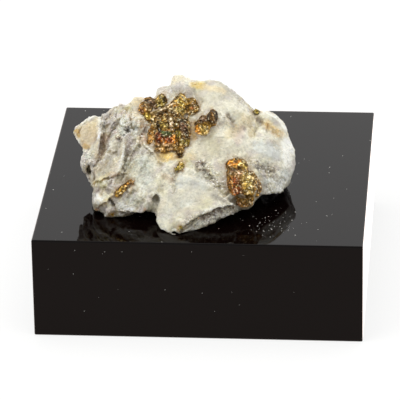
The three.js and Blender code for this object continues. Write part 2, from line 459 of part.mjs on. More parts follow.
const clusters = {
  chalcopyrite_main_cluster: {
    colour: 0x6b4a2a,
    crystals: {
      leftShoulder: [
        [-11.6, 17, 0.3], [-11.2, 18.2, 0.3], [-10.2, 18.6, 0.4], [-9, 17.2, 0.8], [-8.9, 15.6, 0.7],
        [-9.8, 14.9, 0.4], [-11, 15.8, 0.4], [-10.4, 17.2, 1.2],
      ],
      plumBlock: [
        [-10.6, 19.1, 0.3], [-9.2, 19.4, 0.4], [-8.1, 18.8, 0.6], [-7.9, 17.2, 0.7], [-9.2, 16.4, 0.6],
        [-10.4, 17.2, 0.5], [-9.3, 18.2, 1.3],
      ],
      olivePoint: [
        [-8.2, 18.5, 0.5], [-8, 19.5, 0.5], [-7.3, 20.05, 0.5], [-6.7, 19.9, 0.5], [-6.2, 18.6, 0.5],
        [-7, 17.3, 0.7], [-7.9, 17.6, 0.6], [-7.1, 18.8, 1.4],
      ],
      peak: [
        [-5.7, 18, 0.5], [-4.6, 19.4, 0.5], [-3.8, 20.1, 0.6], [-3.1, 19.8, 0.6], [-2.3, 18.8, 0.6],
        [-2.1, 17.2, 0.6], [-2.6, 16.2, 0.6], [-4.4, 16.2, 0.8], [-3.8, 18.9, 1.6], [-3.4, 17, 1.5],
      ],
      rightShoulder: [
        [-2.7, 18.8, 0.5], [-1.6, 19.2, 0.4], [-0.9, 19, 0.3], [-0.15, 17.9, 0.2], [-0.2, 16.9, 0.2],
        [-1.2, 16.2, 0.3], [-2, 15.9, 0.4], [-2.6, 16.8, 0.6], [-1.5, 17.9, 1.2],
      ],
      ridge: [
        [-9.2, 16.4, 0.7], [-5.9, 18, 0.9], [-4.8, 17.6, 0.9], [-3.9, 16.1, 0.7], [-5.6, 15.9, 0.5],
        [-8.6, 15.6, 0.5], [-6, 17.3, 1.4], [-8.4, 16.5, 1.2],
      ],
      topBlock: [
        [-8.8, 16.3, 0.5], [-5.8, 16.8, 0.5], [-3.9, 16.1, 0.6], [-4.5, 14.7, 1.5], [-5.8, 14.6, 1.7],
        [-7.3, 14.5, 1.7], [-8.6, 14.8, 1.3], [-8.4, 14.1, 0.8], [-5, 13.9, 0.8],
      ],
      leftStrip: [
        [-9.8, 12.8, 0.4], [-9.1, 14.3, 0.6], [-8.2, 14.8, 0.8], [-7.9, 13.6, 1], [-8, 11.2, 1.1],
        [-9, 10.3, 0.6], [-10.1, 10.7, 0.3], [-9.2, 12.4, 1.2],
      ],
      lowBlock: [
        [-8.2, 13.8, 0.9], [-7, 14.4, 0.9], [-5, 13.8, 1], [-4.4, 12.6, 1.2], [-7.8, 12, 1.8],
        [-5, 11.9, 1.9], [-4.3, 10.6, 1.1], [-5.2, 9.4, 0.9], [-7, 9, 0.7], [-8.6, 9.3, 0.7],
        [-8.6, 11.6, 1.3],
      ],
      beigeGrain: [
        [-5.9, 15, 1.6], [-5.5, 15.6, 1.5], [-4.9, 15.5, 1.5], [-4.8, 14, 1.7], [-5.4, 13.4, 1.6],
        [-5.4, 14.6, 2.2],
      ],
      darkColumn: [
        [-4.8, 15.3, 0.8], [-3.6, 15.9, 0.6], [-1.9, 14.8, 0.5], [-1.8, 12.4, 0.5], [-2, 11, 0.4],
        [-3.2, 10.7, 0.7], [-4.2, 11.2, 0.8], [-3.7, 14.6, 1.6], [-3.1, 12.4, 1.4],
      ],
      columnFoot: [
        [-4.2, 11.6, 0.7], [-2.4, 11.6, 0.8], [-1.9, 11, 0.4], [-2.2, 10.1, 0.3], [-3.2, 9.9, 0.5],
        [-4.3, 10.2, 0.5], [-3.2, 10.8, 1.2],
      ],
      tail: [
        [-4.5, 10.4, 0.5], [-3.3, 10.3, 0.5], [-3, 9.3, 0.3], [-3.4, 8.2, 0.2], [-4.1, 8.1, 0.2],
        [-4.5, 9.2, 0.4], [-3.9, 9.4, 0.9],
      ],
    },
  },
  chalcopyrite_middle_pair: {
    colour: 0x5a3c1e,
    crystals: {
      darkWedge: [
        [1.2, 15.6, 0.5], [2, 16.8, 0.5], [2.5, 17.1, 0.5], [3.2, 16.6, 0.4], [3.35, 15.6, 0.3],
        [3, 14, 0.4], [2.2, 13.8, 0.5], [1.4, 14.2, 0.5], [2.2, 15.9, 1.7], [2.3, 14.6, 1.3],
      ],
      darkTail: [
        [-0.25, 15.3, 0.3], [0.2, 15.8, 0.3], [1.7, 16, 0.6], [1.7, 14.4, 0.6], [0.4, 14.6, 0.4],
        [0.9, 15.2, 0.9],
      ],
      goldBlock: [
        [-1.1, 14.6, 0.3], [-0.3, 15, 0.4], [0.9, 14.6, 0.5], [1.7, 13.8, 0.4], [1.75, 12.8, 0.3],
        [1.2, 12.1, 0.3], [0.2, 12.2, 0.3], [-0.9, 12.8, 0.3], [0, 14, 1.1], [0.9, 13.2, 1.2],
      ],
    },
  },
  chalcopyrite_right_cluster: {
    colour: 0x8a6232,
    crystals: {
      orangeTop: [
        [4.8, 6.7, 0.3], [5.4, 7.6, 0.5], [7.1, 7.95, 0.5], [7.8, 7.5, 0.6], [7.8, 6.4, 1.3],
        [6, 6.1, 1.4], [5.1, 5.8, 0.7], [7.2, 5.7, 0.8],
      ],
      greyCap: [
        [7.6, 7.8, 0.4], [8.3, 7.7, 0.3], [8.95, 6.8, 0.3], [8.95, 5.8, 0.4], [8, 5.5, 0.6],
        [7.4, 6.4, 0.7], [8.2, 6.8, 1.1],
      ],
      roughNeck: [
        [4.85, 6.2, 0.4], [7.6, 6.4, 0.8], [8.8, 5.7, 0.7], [8.5, 4.5, 0.8], [6.6, 3.9, 0.9],
        [5.1, 4.2, 0.5], [6.6, 5.2, 1.5],
      ],
      oliveBlock: [
        [7, 4.9, 0.9], [8.6, 5.6, 0.7], [10, 5.4, 0.5], [10.8, 4.3, 0.4], [10.6, 2, 0.5],
        [10, 0.6, 0.5], [8.4, 0.5, 0.9], [7.2, 1.6, 1.1], [6.8, 3.2, 1.2], [8.6, 4, 1.9], [9.2, 2.2, 1.9],
      ],
      redBlock: [
        [5.1, 4.4, 0.4], [7.2, 4.3, 1], [7.7, 3, 1.3], [7.6, 1.2, 1], [6.5, 0.8, 0.6],
        [5.7, 1.2, 0.4], [5.15, 2.6, 0.4], [6.5, 2.8, 1.6],
      ],
      darkRim: [
        [10.1, 4, 0.5], [11, 3.95, 0.3], [11.6, 2.8, 0.2], [11.5, 1.5, 0.2], [10.8, 0.6, 0.2],
        [9.9, 0.9, 0.5], [9.8, 2.4, 0.8], [10.8, 2.4, 1.1],
      ],
      darkTip: [
        [6.5, 1.2, 0.6], [8, 1.2, 1], [9.9, 0.9, 0.6], [10.1, 0.1, 0.3], [9.9, -0.8, 0.3],
        [9, -1.3, 0.3], [7.7, -1.4, 0.4], [6.8, -0.8, 0.4], [8.2, 0, 1.4],
      ],
    },
  },
  chalcopyrite_left_seam: {
    colour: 0x8c7434,
    sunk: 0.8,
    crystals: {
      low: [
        [-16, 0.8, 0.2], [-15.8, 1.8, 0.2], [-15, 2.3, 0.3], [-14.6, 1.6, 0.3], [-15, 0.9, 0.2],
        [-15.6, 0.5, 0.2], [-15.3, 1.4, 0.8],
      ],
      middle: [
        [-15.4, 2, 0.2], [-14.6, 2.9, 0.2], [-14, 2.8, 0.3], [-13.8, 2, 0.2], [-14.5, 1.3, 0.2],
        [-15, 1.2, 0.2], [-14.6, 2.2, 0.9],
      ],
      high: [[-14.5, 3, 0.2], [-13.5, 3.7, 0.2], [-13, 3.2, 0.2], [-13.5, 2.5, 0.2], [-13.8, 3.1, 0.7]],
      end: [[-13.5, 3.5, 0.2], [-12.9, 3.9, 0.2], [-12.4, 3.5, 0.1], [-12.6, 3, 0.1], [-13, 3.4, 0.5]],
    },
  },
  chalcopyrite_grain_below: {
    colour: 0x84702e,
    sunk: 0.8,
    crystals: {
      bright: [
        [-4.3, 6.4, 0.2], [-3.9, 7.2, 0.2], [-3.2, 7.1, 0.2], [-2.9, 6.5, 0.1], [-3.3, 5.9, 0.1],
        [-4.1, 5.9, 0.1], [-3.6, 6.6, 0.8],
      ],
      dark: [[-4.8, 6, 0.1], [-3.6, 6.2, 0.2], [-3.3, 5.6, 0.1], [-4.6, 5.4, 0.1], [-4.1, 5.8, 0.4]],
    },
  },
  chalcopyrite_edge_grain: {
    colour: 0x7a6a34,
    sunk: 0.6,
    crystals: {
      grain: [
        [10, 16.7, 0.1], [10.4, 17.1, 0.1], [11, 16.9, 0.1], [11.3, 16.5, 0.1], [10.8, 16.2, 0.2],
        [10.3, 16.3, 0.2], [10.7, 16.7, 0.5],
      ],
    },
  },
  chalcopyrite_foot_grain: {
    colour: 0x7d6f3c,
    sunk: 0.6,
    crystals: {
      grain: [[-4, -5.5, 0.1], [-3.8, -4.9, 0.1], [-3.3, -5, 0.1], [-3.2, -5.6, 0.1], [-3.6, -5.3, 0.4]],
    },
  },
  chalcopyrite_left_grain: {
    colour: 0x9a7b3a,
    sunk: 0.6,
    crystals: {
      grain: [[-17, -2.9, 0.1], [-16.7, -2.4, 0.1], [-16.2, -2.5, 0.1], [-16.3, -3, 0.1], [-16.6, -2.7, 0.4]],
    },
  },
};

// Broken grain over the stone: low chips at seeded places, on the front and on the back.
// sunk is how much of a chip's radius lies inside the stone.
const frontGrain = {
  sunk: 0.78,
  patches: [
    { count: 12, right: [-17, -9.5], up: [12.5, 16.2], radius: [0.9, 1.5] },
    { count: 8, right: [-16, -9], up: [-1.5, 9], radius: [0.8, 1.4] },
    { count: 8, right: [-7.5, 5], up: [-4, 6], radius: [0.8, 1.4] },
    { count: 8, right: [10, 15.5], up: [2.5, 13], radius: [0.9, 1.5] },
    { count: 8, right: [-1, 8], up: [8, 20], radius: [0.9, 1.5] },
    { count: 6, right: [-21.4, -19.5], up: [5, 9], radius: [0.7, 1.1] },
  ],
};
const backGrain = {
  sunk: 0.7,
  count: 36,
  radius: [0.9, 1.9],
  turn: [0.12, 0.88],
  rise: [-0.35, 0.5],
  middle: new THREE.Vector3(-3, -5, 27),
  outside: 60,
};

function scatterChips() {
  const random = seeded(11);
  const between = ([low, high]) => THREE.MathUtils.lerp(low, high, random());
  const chips = [];
  for (const { count, right, up, radius } of frontGrain.patches) {
    for (let i = 0; i < count; i += 1) {
      const place = onStone(between(right), between(up));
      const size = between(radius);
      place.addScaledVector(toViewer, -frontGrain.sunk * size);
      chips.push(hull(scatter(place, size, random)));
    }
  }
  for (let i = 0; i < backGrain.count; i += 1) {
    const turn = between(backGrain.turn) * Math.PI;
    const away = new THREE.Vector3(Math.cos(turn), Math.sin(turn), between(backGrain.rise));
    away.normalize();
    const from = backGrain.middle.clone().addScaledVector(away, backGrain.outside);
    const place = meets(roughGeometry, from, backGrain.middle);
    const size = between(backGrain.radius);
    place.addScaledVector(away, -backGrain.sunk * size);
    chips.push(hull(scatter(place, size, random)));
  }
  return chips;
}

// One hollow: hulls between the scattered corners of neighbouring landmarks
function cutter({ along, radius }, random) {
  const ends = along.map(([right, up]) => scatter(onStone(right, up), radius, random));
  const runs = ends.length > 1 ? ends.slice(1).map((end, i) => [...ends[i], ...end]) : ends;
  return join(runs.map(hull));
}

function quartzGeometry() {
  const random = seeded(5);
  const slab = new THREE.BoxGeometry(2 * blockSide, 2 * blockSide, blockHeight);
  const floor = toSolid(slab.translate(0, 0, stoneLift - blockHeight / 2));
  const sockets = Object.values(clusters).flatMap(
    ({ crystals, sunk }) => Object.values(crystals).map((landmarks) => socket(landmarks, sunk)),
  );
  const stone = rough.add(join(scatterChips()));
  const pitted = stone.subtract(join(hollows.map((hollow) => cutter(hollow, random))));
  const cut = mainBody(pitted.subtract(floor).subtract(join(sockets)));
  return toGeometry(mainBody(toSolid(toGeometry(cut))));
}

function blockGeometry() {
  const half = blockSide / 2 - blockArris;
  const square = new THREE.Shape([
    new THREE.Vector2(-half, -half),
    new THREE.Vector2(half, -half),
    new THREE.Vector2(half, half),
    new THREE.Vector2(-half, half),
  ]);
  const geometry = new THREE.ExtrudeGeometry(square, {
    depth: blockHeight - 2 * blockArris,
    bevelThickness: blockArris,
    bevelSize: blockArris,
    bevelSegments: 1,
  });
  return geometry.translate(0, 0, blockArris);
}

function named(name, geometry, colour, roughness, metalness) {
  const material = new THREE.MeshStandardMaterial({ color: colour, roughness, metalness });
  const mesh = new THREE.Mesh(geometry, material);
  mesh.name = name;
  return mesh;
}

const specimen = new THREE.Group();
specimen.add(named('display_block', blockGeometry(), 0x0c0a0a, 0.08, 0));
specimen.add(named('quartz_matrix', quartzGeometry(), 0xcfc9ba, 0.5, 0));
for (const [name, { colour, crystals, sunk }] of Object.entries(clusters)) {
  const grown = join(Object.values(crystals).map((landmarks) => crystal(landmarks, sunk)));
  specimen.add(named(name, toGeometry(grown), colour, 0.35, 0.8));
}

export default specimen;
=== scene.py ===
import math

import bmesh
import bpy
import numpy as np
from mathutils import Matrix, Vector, noise
from mathutils.bvhtree import BVHTree


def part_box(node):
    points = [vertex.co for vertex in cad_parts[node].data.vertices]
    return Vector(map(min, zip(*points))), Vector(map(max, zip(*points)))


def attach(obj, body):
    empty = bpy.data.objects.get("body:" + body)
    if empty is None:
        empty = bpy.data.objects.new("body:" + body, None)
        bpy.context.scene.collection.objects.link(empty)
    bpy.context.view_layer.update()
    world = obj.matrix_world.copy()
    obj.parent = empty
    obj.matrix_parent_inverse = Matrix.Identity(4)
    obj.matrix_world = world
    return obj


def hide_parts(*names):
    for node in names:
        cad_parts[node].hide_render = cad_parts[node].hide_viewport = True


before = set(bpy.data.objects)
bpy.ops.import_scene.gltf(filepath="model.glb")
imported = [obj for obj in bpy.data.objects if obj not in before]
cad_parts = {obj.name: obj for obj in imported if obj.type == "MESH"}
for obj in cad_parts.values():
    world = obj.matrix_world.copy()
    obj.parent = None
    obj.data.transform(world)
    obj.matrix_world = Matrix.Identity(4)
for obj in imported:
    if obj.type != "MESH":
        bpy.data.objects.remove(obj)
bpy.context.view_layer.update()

mm = 0.001

# The camera stands where the photo was taken from. Landmarks on the stone are (right, up) in
# millimetres, across the sight line through the aim point.
viewer = {
    "turn": math.radians(4.69),
    "rise": math.radians(25.13),
    "roll": math.radians(-0.92),
    "distance": 712.8 * mm,
    "aim": Vector((-1.68, 0, 13.8)) * mm,
    "lens": 341.46,
    "sensor": 36.0,
}

toViewer = Vector((math.sin(viewer["turn"]) * math.cos(viewer["rise"]),
                   -math.cos(viewer["turn"]) * math.cos(viewer["rise"]),
                   math.sin(viewer["rise"])))
level = Vector((math.cos(viewer["turn"]), math.sin(viewer["turn"]), 0))
across = Matrix.Rotation(viewer["roll"], 3, toViewer) @ level
upward = toViewer.cross(across)
eye = viewer["aim"] + toViewer * viewer["distance"]

faceRise = math.radians(48)  # how far the stone's broken front leans back
offFace = Vector((math.sin(viewer["turn"]) * math.cos(faceRise),
                  -math.cos(viewer["turn"]) * math.cos(faceRise),
                  math.sin(faceRise)))


def sightLine(right, up):  # from the eye through a landmark
    through = viewer["aim"] + (across * right + upward * up) * mm
    return (through - eye).normalized()


def addCamera():
    data = bpy.data.cameras.new("camera")
    data.lens = viewer["lens"]
    data.sensor_width = viewer["sensor"]
    data.clip_end = 20
    camera = bpy.data.objects.new("camera", data)
    axes = Matrix((across, upward, toViewer)).transposed().to_4x4()
    camera.matrix_world = Matrix.Translation(eye) @ axes
    bpy.context.collection.objects.link(camera)
    bpy.context.scene.camera = camera


addCamera()
print("camera set")


# Shader helpers

def linear(colour):  # a colour as a screen shows it, 0 to 255, as the linear values that shaders take
    parts = [value / 255 for value in colour]
    return tuple(p / 12.92 if p <= 0.04045 else ((p + 0.055) / 1.055) ** 2.4 for p in parts)


def addNode(tree, kind, feeds=None, **settings):
    made = tree.nodes.new("ShaderNode" + kind)
    for name, value in settings.items():
        setattr(made, name, value)
    for socket, value in (feeds or {}).items():
        if isinstance(value, bpy.types.NodeSocket):
            tree.links.new(value, made.inputs[socket])
        else:
            made.inputs[socket].default_value = value
    return made


def addMath(tree, operation, *values):
    made = addNode(tree, "Math", dict(enumerate(values)), operation=operation)
    return made.outputs[0]


def mixColour(tree, share, first, second, blend="MIX"):
    made = addNode(tree, "Mix", {0: share, 6: first, 7: second}, data_type="RGBA", blend_type=blend)
    return made.outputs[2]


def mixValue(tree, share, first, second):
    return addNode(tree, "Mix", {0: share, 2: first, 3: second}, data_type="FLOAT").outputs[0]


def newMaterial(name):
    material = bpy.data.materials.new(name)
    material.use_nodes = True
    tree = material.node_tree
    coords = tree.nodes.new("ShaderNodeTexCoord").outputs["Object"]
    return material, tree, tree.nodes["Principled BSDF"], coords


def newGroup(name, takes, gives):
    group = bpy.data.node_groups.new(name, "ShaderNodeTree")
    for label, kind in takes:
        group.interface.new_socket(label, in_out="INPUT", socket_type="NodeSocket" + kind)
    for label in gives:
        group.interface.new_socket(label, in_out="OUTPUT", socket_type="NodeSocketFloat")
    return group, group.nodes.new("NodeGroupInput"), group.nodes.new("NodeGroupOutput")


def makeFacetGroup():  # flat crystal grains, each with a shade and a tilt of its own
    group, takes, gives = newGroup("crystalGrains", [("Vector", "Vector"), ("Scale", "Float")],
                                   ["Shade", "Height"])
    cells = addNode(group, "TexVoronoi", {"Vector": takes.outputs["Vector"],
                                          "Scale": takes.outputs["Scale"]})
    local = addNode(group, "VectorMath", {0: takes.outputs["Vector"], 1: cells.outputs["Position"]},
                    operation="SUBTRACT")
    tilt = addNode(group, "VectorMath", {0: cells.outputs["Color"], 1: (0.5, 0.5, 0.5)},
                   operation="SUBTRACT")
    height = addNode(group, "VectorMath", {0: local.outputs[0], 1: tilt.outputs[0]},
                     operation="DOT_PRODUCT")
    shade = addNode(group, "SeparateColor", {"Color": cells.outputs["Color"]})
    group.links.new(shade.outputs[0], gives.inputs["Shade"])
    group.links.new(height.outputs["Value"], gives.inputs["Height"])
    return group


facetGroup = makeFacetGroup()


def addFacets(tree, coords, size):  # grains of size metres
    made = tree.nodes.new("ShaderNodeGroup")
    made.node_tree = facetGroup
    tree.links.new(coords, made.inputs["Vector"])
    made.inputs["Scale"].default_value = 1 / size
    return made.outputs["Shade"], made.outputs["Height"]


# Mesh helpers

def newPiece(name, mesh, slot, *nodes):
    piece = bpy.data.objects.new(name, mesh)
    bpy.context.collection.objects.link(piece)
    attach(piece, "root")
    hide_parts(*nodes)
    return piece


def addSolid(bm, node, swell=0.0, shift=Vector()):  # adds a copy of a CAD solid, swollen and moved
    part = bmesh.new()
    part.from_mesh(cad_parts[node].data)
    bmesh.ops.remove_doubles(part, verts=part.verts, dist=0.0005 * mm)
    part.normal_update()
    for vert in part.verts:
        vert.co += vert.normal * swell + shift
    spare = bpy.data.meshes.new("spare")
    part.to_mesh(spare)
    part.free()
    bm.from_mesh(spare)
    bpy.data.meshes.remove(spare)


def voxelMesh(bm, size):  # one even skin over everything in bm
    mesh = bpy.data.meshes.new("skin")
    bm.to_mesh(mesh)
    bm.free()
    thing = bpy.data.objects.new("skin", mesh)
    bpy.context.collection.objects.link(thing)
    skin = thing.modifiers.new("skin", "REMESH")
    skin.mode = "VOXEL"
    skin.voxel_size = size
    graph = bpy.context.evaluated_depsgraph_get()
    made = bpy.data.meshes.new_from_object(thing.evaluated_get(graph))
    bpy.data.objects.remove(thing)
    bpy.data.meshes.remove(mesh)
    return made


def readPoints(mesh):
    points = np.empty(len(mesh.vertices) * 3)
    mesh.vertices.foreach_get("co", points)
    return points.reshape(-1, 3)


def readNormals(mesh):
    normals = np.empty(len(mesh.vertices) * 3)
    mesh.vertex_normals.foreach_get("vector", normals)
    return normals.reshape(-1, 3)


def writePoints(mesh, points):
    mesh.vertices.foreach_set("co", points.reshape(-1))
    mesh.update()


def readEdges(mesh):
    edges = np.empty(len(mesh.edges) * 2, dtype=np.int32)
    mesh.edges.foreach_get("vertices", edges)
    return edges.reshape(-1, 2)


def relaxed(values, edges, rounds):  # each value drawn to the mean of its neighbours
    count = len(values)
    ends = np.concatenate([edges[:, 0], edges[:, 1]])
    others = np.concatenate([edges[:, 1], edges[:, 0]])
    number = np.maximum(np.bincount(ends, minlength=count), 1)
    for _ in range(rounds):
        mean = [np.bincount(ends, weights=column[others], minlength=count) / number for column in values.T]
        values = 0.5 * values + 0.5 * np.stack(mean, axis=1)
    return values


def noiseOf(points, size, seed):  # smooth noise, about -1 to 1, with lumps of size metres
    away = Vector((seed * 7.31, seed * 3.77, seed * 5.19))
    return np.array([noise.noise(Vector(p) / size + away) for p in points])


faceDome = 0.25  # how far a face falls off towards its rim


def facetsOf(points, size, seed, slope):  # heights of flat faces of size metres, each tilted its own way
    away = Vector((seed * 2.13, seed * 8.41, seed * 4.57))
    heights = np.empty(len(points))
    for i, p in enumerate(points):
        spot = Vector(p) / size + away
        near = []
        for place in noise.voronoi(spot)[1]:
            lean = noise.cell_vector(place * 37.7) - Vector((0.5, 0.5, 0.5))
            step = spot - place
            near.append(step.dot(lean) * slope - step.length * faceDome)
        heights[i] = max(near)
    return heights * size


def grainsOf(points, size, seed):  # one value, 0 to 1, for each broken grain of size metres
    away = Vector((seed * 3.19, seed * 6.73, seed * 1.37))
    return np.array([noise.cell(noise.voronoi(Vector(p) / size + away)[1][0] * 91.7) for p in points])


def raggedOf(points, seed):  # noise that breaks up the edge of a stroke, coarse and fine
    return noiseOf(points, 1.3 * mm, seed) * 0.5 + noiseOf(points, 0.45 * mm, seed + 1) * 0.35


def smoothStep(values, low, high):
    share = np.clip((values - low) / (high - low), 0, 1)
    return share * share * (3 - 2 * share)


def landmarksOf(points):  # where somebody at the eye sees each point, as (right, up)
    away = points - np.array(eye)
    scale = viewer["distance"] / -(away @ np.array(toViewer)) / mm
    return np.stack([away @ np.array(across) * scale, away @ np.array(upward) * scale], axis=1)


class Strokes:  # works out how near each point of a surface is to a line drawn over it
    spacing = 0.4  # millimetres between the points of a line

    def __init__(self, points, mesh):
        self.points = points
        self.tree = BVHTree.FromPolygons([Vector(p) for p in points],
                                         [tuple(face.vertices) for face in mesh.polygons])

    def landing(self, right, up):
        return self.tree.ray_cast(eye, sightLine(right, up))[0]

    def spots(self, along):
        marks = [along[0]]
        for (r0, u0), (r1, u1) in zip(along, along[1:]):
            steps = max(1, round(math.hypot(r1 - r0, u1 - u0) / self.spacing))
            marks += [(r0 + (r1 - r0) * k / steps, u0 + (u1 - u0) * k / steps) for k in range(1, steps + 1)]
        hits = [self.landing(*mark) for mark in marks]
        return [np.array(hit) for hit in hits if hit is not None]

    def distance(self, along, reach):
        best = np.full(len(self.points), 1.0)
        spots = self.spots(along)
        if not spots:
            return best
        low = np.min(spots, axis=0) - reach
        high = np.max(spots, axis=0) + reach
        close = np.all((self.points > low) & (self.points < high), axis=1).nonzero()[0]
        near = self.points[close]
        nearest = np.full(len(close), 1.0)
        for a, b in zip(spots, spots[1:] or spots):
            line = b - a
            length = line @ line
            if length > (2 * self.spacing * mm) ** 2:
                line, length = line * 0, 0.0
            share = np.clip((near - a) @ line / length, 0, 1) if length > 0 else np.zeros(len(near))
            gap = near - a - share[:, None] * line
            nearest = np.minimum(nearest, np.sqrt(np.einsum("ij,ij->i", gap, gap)))
        best[close] = nearest
        return best


def carve(points, normals, strokes, relief, waver):  # raises ridges and sinks grooves along lines
    lift = np.zeros(len(points))
    for height, width, along in relief:
        reach = width * mm * 1.6
        share = strokes.distance(along, reach) / (width * mm) + waver
        lift += height * mm * (1 - smoothStep(share, 0.1, 1.1))
    return points + normals * lift[:, None]


def paint(colours, strokes, marks, tints, ragged, patchy):  # lays stains, painted highlights and painted shade over the ground colour, in order
    for tint, strength, width, along in marks:
        reach = width * mm * 2.2
        share = strokes.distance(along, reach) / (width * mm) + ragged
        cover = strength * (1 - smoothStep(share, 0.35, 1.35)) * patchy
        colours += (np.array(linear(tints[tint])) - colours) * np.clip(cover, 0, 1)[:, None]


def storeTint(mesh, name, colours):
    layer = mesh.color_attributes.new(name, "FLOAT_COLOR", "POINT")
    rows = np.ones((len(colours), 4))
    rows[:, :3] = np.clip(colours, 0, 1)
    layer.data.foreach_set("color", rows.reshape(-1))


# The black display block

block = {
    "arris": 0.28 * mm,
    "colour": (0.0024, 0.0009, 0.0007),
    "ior": 1.14,
    "roughness": 0.03,
    "dust": (0.7, 0.69, 0.65),
    # where dust has gathered on the top: landmark, radius and share of the specks that show
    "drifts": [((13.8, -4.6), 7 * mm, 0.8), ((22, 0), 9 * mm, 0.04), ((-26, 1), 9 * mm, 0.04)],
    "dusty": 0.011,  # share of the specks that show elsewhere
    "speckCell": 0.45 * mm,
    "smallSpeck": 0.08,  # radius of the smallest speck, as a share of its cell
    "speckSpan": 0.16,  # what the largest speck adds to that
    "dustRoughness": 0.9,
    "rippleScale": 45.0,
    "ripple": 0.02,
}


def onBlockTop(right, up):
    way = sightLine(right, up)
    return eye + way * ((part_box("display_block")[1].z - eye.z) / way.z)


def blockMaterial():
    material, tree, shader, coords = newMaterial("blackAcrylic")
    specks = addNode(tree, "TexVoronoi", {"Vector": coords, "Scale": 1 / block["speckCell"],
                                          "Randomness": 1.0})
    chance = addNode(tree, "SeparateColor", {"Color": specks.outputs["Color"]})
    share = block["dusty"]
    for landmark, radius, most in block["drifts"]:
        away = addNode(tree, "VectorMath", {0: coords, 1: onBlockTop(*landmark)}, operation="DISTANCE")
        here = addNode(tree, "MapRange", {"Value": away.outputs["Value"], "From Max": radius,
                                          "To Min": most, "To Max": 0.0})
        share = addMath(tree, "MAXIMUM", share, here.outputs[0])
    few = addMath(tree, "LESS_THAN", chance.outputs[0], share)
    reach = addMath(tree, "MULTIPLY_ADD", chance.outputs[1], block["speckSpan"], block["smallSpeck"])
    dot = addMath(tree, "LESS_THAN", specks.outputs["Distance"], reach)
    dust = addMath(tree, "MULTIPLY", few, dot)
    dusted = mixColour(tree, dust, (*block["colour"], 1), (*block["dust"], 1))
    tree.links.new(dusted, shader.inputs["Base Color"])
    dull = mixValue(tree, dust, block["roughness"], block["dustRoughness"])
    tree.links.new(dull, shader.inputs["Roughness"])
    shader.inputs["IOR"].default_value = block["ior"]
    polish = addNode(tree, "TexNoise", {"Vector": coords, "Scale": block["rippleScale"], "Detail": 1.0})
    ripple = addNode(tree, "Bump", {"Height": polish.outputs["Fac"], "Strength": block["ripple"],
                                    "Distance": 1 * mm})
    tree.links.new(ripple.outputs[0], shader.inputs["Normal"])
    return material


def makeBlock():
    low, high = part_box("display_block")
    bm = bmesh.new()
    bmesh.ops.create_cube(bm, size=1)
    bmesh.ops.scale(bm, verts=bm.verts, vec=high - low)
    bmesh.ops.translate(bm, verts=bm.verts, vec=(low + high) / 2)
    bmesh.ops.bevel(bm, geom=bm.edges, offset=block["arris"], affect="EDGES", segments=3, profile=0.5,
                    material=-1)
    mesh = bpy.data.meshes.new("displayBlock")
    bm.to_mesh(mesh)
    bm.free()
    mesh.materials.append(blockMaterial())
    newPiece("displayBlock", mesh, "black_acrylic", "display_block")


makeBlock()
print("block made")


# The quartz

quartz = {
    "voxel": 0.22 * mm,
    "closing": 0.35 * mm,
    "socketSwell": 0.3 * mm,
    "socketPush": 0.75 * mm,
    "coarser": 1.3,  # voxels of the first skin, against the last one's
    "grit": 0.22,  # coarseness where no line of quartzGrit passes
    "wear": 60,  # rounds of smoothing on the worn places
    "lumps": [(2.6 * mm, 0.16 * mm), (0.5 * mm, 0.05 * mm)],  # size and height
    # size, slope and height of the broken faces, and of those on the slats at the left
    "faces": [(2.8 * mm, 0.9, 0.5), (1.2 * mm, 1.0, 0.6), (0.5 * mm, 1.0, 0.4)],
    "slats": [(2.6 * mm, 1.5, 0.6), (1.2 * mm, 1.4, 0.35)],
    "slatStretch": 0.82,
    "slatSlope": (0.3, 0.95),  # right and up, along a slat
    "slatsFrom": 8.5,  # millimetres left of the aim point where slats begin, and where they show in full
    "slatsFull": 11.5,
    "paintedShade": 1.6,  # the higher, the fainter the painted shade in hollows and below
    "underside": 0.75,  # painted shade on faces that turn down
    "beneath": 0.9,  # light lost on faces that look straight down
    "halos": [("tan", 1.5 * mm, 0.5), ("clay", 0.6 * mm, 0.7)],  # stains round the ore
}

quartzFinish = {
    "grain": 0.46 * mm,
    "fineGrain": 0.25 * mm,
    "cloudScale": 900.0,
    "glint": (0.9, 0.88, 0.82, 1),
    "glintsAbove": 0.92,
    "relief": 0.6,
    "fineRelief": 0.5,
    "ior": 1.54,
    "bleed": 1.4 * mm,
    "bleedColour": (1.0, 0.95, 0.85),
}

crystalNodes = [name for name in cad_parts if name.startswith("chalcopyrite")]

quartzTints = {
    "snow": (250, 249, 238),
    "milk": (226, 222, 202),
    "mint": (204, 209, 192),
    "cream": (226, 210, 168),
    "pale": (206, 198, 172),
    "grey": (178, 174, 160),
    "shade": (132, 124, 108),
    "lilac": (190, 180, 176),
    "ice": (212, 216, 210),
    "green": (194, 190, 142),
    "tan": (198, 178, 138),
    "straw": (232, 206, 118),
    "honey": (212, 172, 84),
    "mustard": (180, 148, 70),
    "butter": (250, 212, 118),
    "rust": (190, 128, 58),
    "clay": (180, 146, 106),
    "umber": (122, 98, 72),
    "dark": (62, 52, 42),
    "pink": (192, 160, 148),
    "olive": (128, 116, 70),
}

